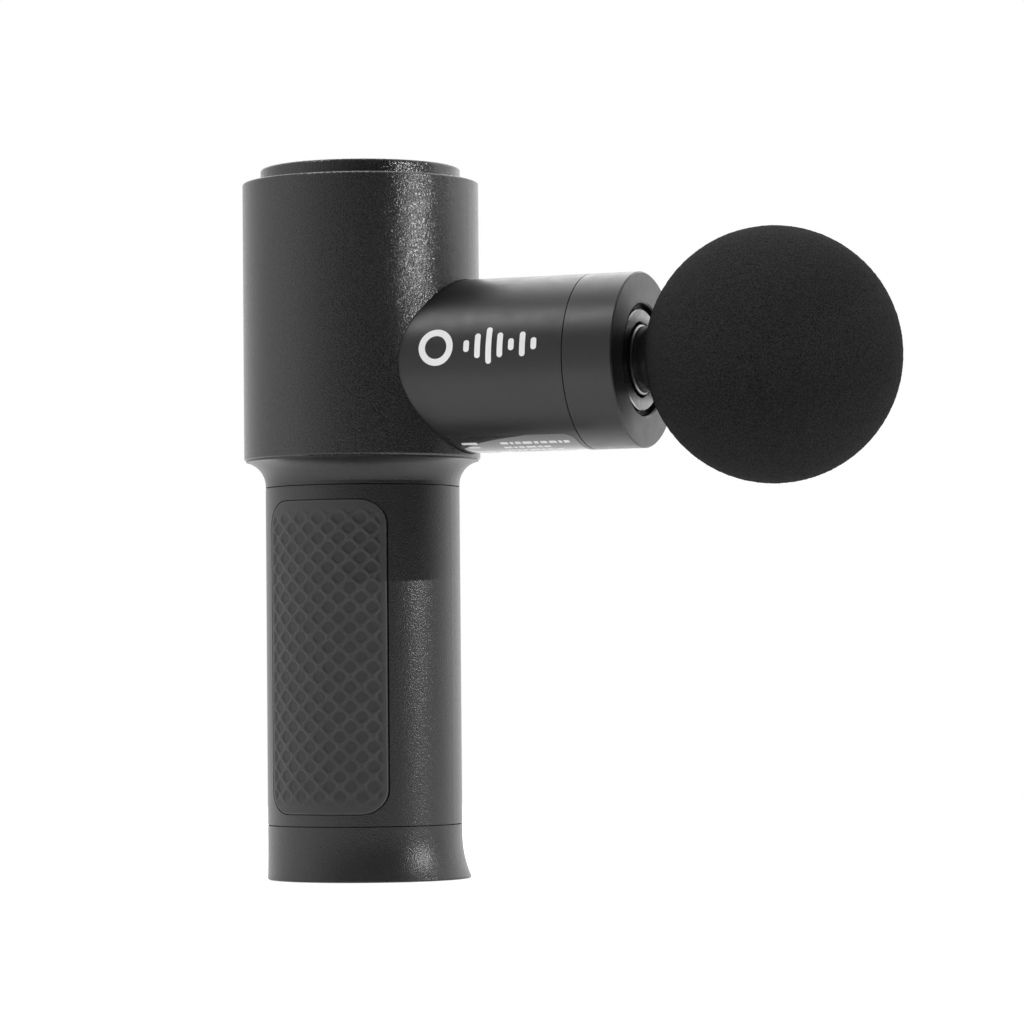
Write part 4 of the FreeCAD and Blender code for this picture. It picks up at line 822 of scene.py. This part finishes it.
def white_world():
    """A white room, darker on the side where the camera stands, so that black faces read as black."""
    world = bpy.data.worlds.new("white_room")
    bpy.context.scene.world = world
    world.use_nodes = True
    tree = world.node_tree
    tree.nodes.clear()
    place = tree.nodes.new("ShaderNodeTexCoord")
    parts = []
    for direction in (toward(90, 0), toward(0, 0)):
        dot = tree.nodes.new("ShaderNodeVectorMath")
        dot.operation = "DOT_PRODUCT"
        dot.inputs[1].default_value = direction
        tree.links.new(place.outputs["Generated"], dot.inputs[0])
        parts.append(dot.outputs["Value"])
    angle = tree.nodes.new("ShaderNodeMath")
    angle.operation = "ARCTAN2"
    for part, socket in zip(parts, angle.inputs):
        tree.links.new(part, socket)
    turn = tree.nodes.new("ShaderNodeMapRange")
    for key, number in zip(("From Min", "From Max"), (-math.pi, math.pi)):
        turn.inputs[key].default_value = number
    tree.links.new(angle.outputs["Value"], turn.inputs["Value"])
    split = tree.nodes.new("ShaderNodeSeparateXYZ")
    tree.links.new(place.outputs["Generated"], split.inputs["Vector"])
    height = tree.nodes.new("ShaderNodeMapRange")
    height.interpolation_type = "SMOOTHSTEP"
    for key, number in zip(("From Min", "From Max"), ROOM_TURN):
        height.inputs[key].default_value = number
    tree.links.new(split.outputs["Z"], height.inputs["Value"])
    blend = tree.nodes.new("ShaderNodeMix")
    blend.data_type = "RGBA"
    tree.links.new(height.outputs["Result"], blend.inputs["Factor"])
    colours = [socket for socket in blend.inputs if socket.type == "RGBA"]
    for stops, socket in zip((ROOM_LOW, ROOM_HIGH), colours):
        tree.links.new(ramp_of(tree, stops, turn.outputs["Result"]), socket)
    lit = tree.nodes.new("ShaderNodeBackground")
    lit.inputs["Strength"].default_value = ROOM_PEAK
    tree.links.new([socket for socket in blend.outputs if socket.type == "RGBA"][0], lit.inputs["Color"])
    backdrop = tree.nodes.new("ShaderNodeBackground")
    backdrop.inputs["Color"].default_value = (1, 1, 1, 1)
    seen = tree.nodes.new("ShaderNodeLightPath")
    mix = tree.nodes.new("ShaderNodeMixShader")
    tree.links.new(seen.outputs["Is Camera Ray"], mix.inputs["Fac"])
    tree.links.new(lit.outputs["Background"], mix.inputs[1])
    tree.links.new(backdrop.outputs["Background"], mix.inputs[2])
    output = tree.nodes.new("ShaderNodeOutputWorld")
    tree.links.new(mix.outputs["Shader"], output.inputs["Surface"])


FLOOR_RADIUS = 0.62
FLOOR_PLACE = (0, 0, -0.0002)  # a hair below the gun's base
FLOOR_COLOUR = 0.85
FLOOR_GLOW = (0.32, 0.75)  # in reflections, and as seen straight


def floor():
    """A round table of white paper that glows a little, as if lit from below."""
    bpy.ops.mesh.primitive_circle_add(vertices=128, radius=FLOOR_RADIUS, fill_type="NGON")
    ground = bpy.context.object
    ground.location = FLOOR_PLACE
    ground.name = "floor"
    material = bpy.data.materials.new("floor_paper")
    material.use_nodes = True
    bsdf = material.node_tree.nodes["Principled BSDF"]
    bsdf.inputs["Base Color"].default_value = (FLOOR_COLOUR, FLOOR_COLOUR, FLOOR_COLOUR, 1)
    bsdf.inputs["Roughness"].default_value = 0.9
    bsdf.inputs["Emission Color"].default_value = (1, 1, 1, 1)
    seen = material.node_tree.nodes.new("ShaderNodeLightPath")
    glow = material.node_tree.nodes.new("ShaderNodeMapRange")
    glow.inputs["To Min"].default_value, glow.inputs["To Max"].default_value = FLOOR_GLOW
    material.node_tree.links.new(seen.outputs["Is Camera Ray"], glow.inputs["Value"])
    material.node_tree.links.new(glow.outputs["Result"], bsdf.inputs["Emission Strength"])
    ground.data.materials.append(material)


def lights():
    white_world()
    floor()
    spot("drum_spot", 54, 2.5, 0.8, (0, 0, 0.199), cone=9.6, blend=0.10, radius=0.018, power=9.6)
    for side in (84, 97, 110):
        spot(f"drum_fill_{side}", side, 8, 0.8, (0, 0, 0.225), cone=9.0, blend=0.3, radius=0.05, power=1.3)
    spot("handle_spot", 69.5, 15.0, 1.5, (0, 0, 0.028), cone=7.0, blend=0.15, radius=0.004, power=32)
    ahead_of_ball = BALL_CENTRE + Vector((20 * MM, 0, 0))  # so that the ball stays lit when it is pulled off
    spot("ball_spot", -20, 65, 0.8, ahead_of_ball, cone=7.3, blend=0.15, radius=0.004, power=19)
    softbox("top_softbox", -72, 49, 0.9, (0.06, 0, 0.13), size=0.30, power=1.75)


# ---------------------------------------------------------------------------------------------------
# Build
# ---------------------------------------------------------------------------------------------------


def dress_cad_nodes():
    for key, names in NODE_MATERIALS.items():
        for name in names:
            dress(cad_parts[name], key)


def build():
    add_camera()
    lights()
    dress_cad_nodes()
    grip_pad("grip_pad_right", -1)
    grip_pad("grip_pad_left", 1)
    foam_ball()
    barrel_mark()
    label_bars()
    key_symbols()
    lens_prints()
    scene = bpy.context.scene
    scene.view_settings.view_transform = "Standard"
    scene.view_settings.look = "None"


build()
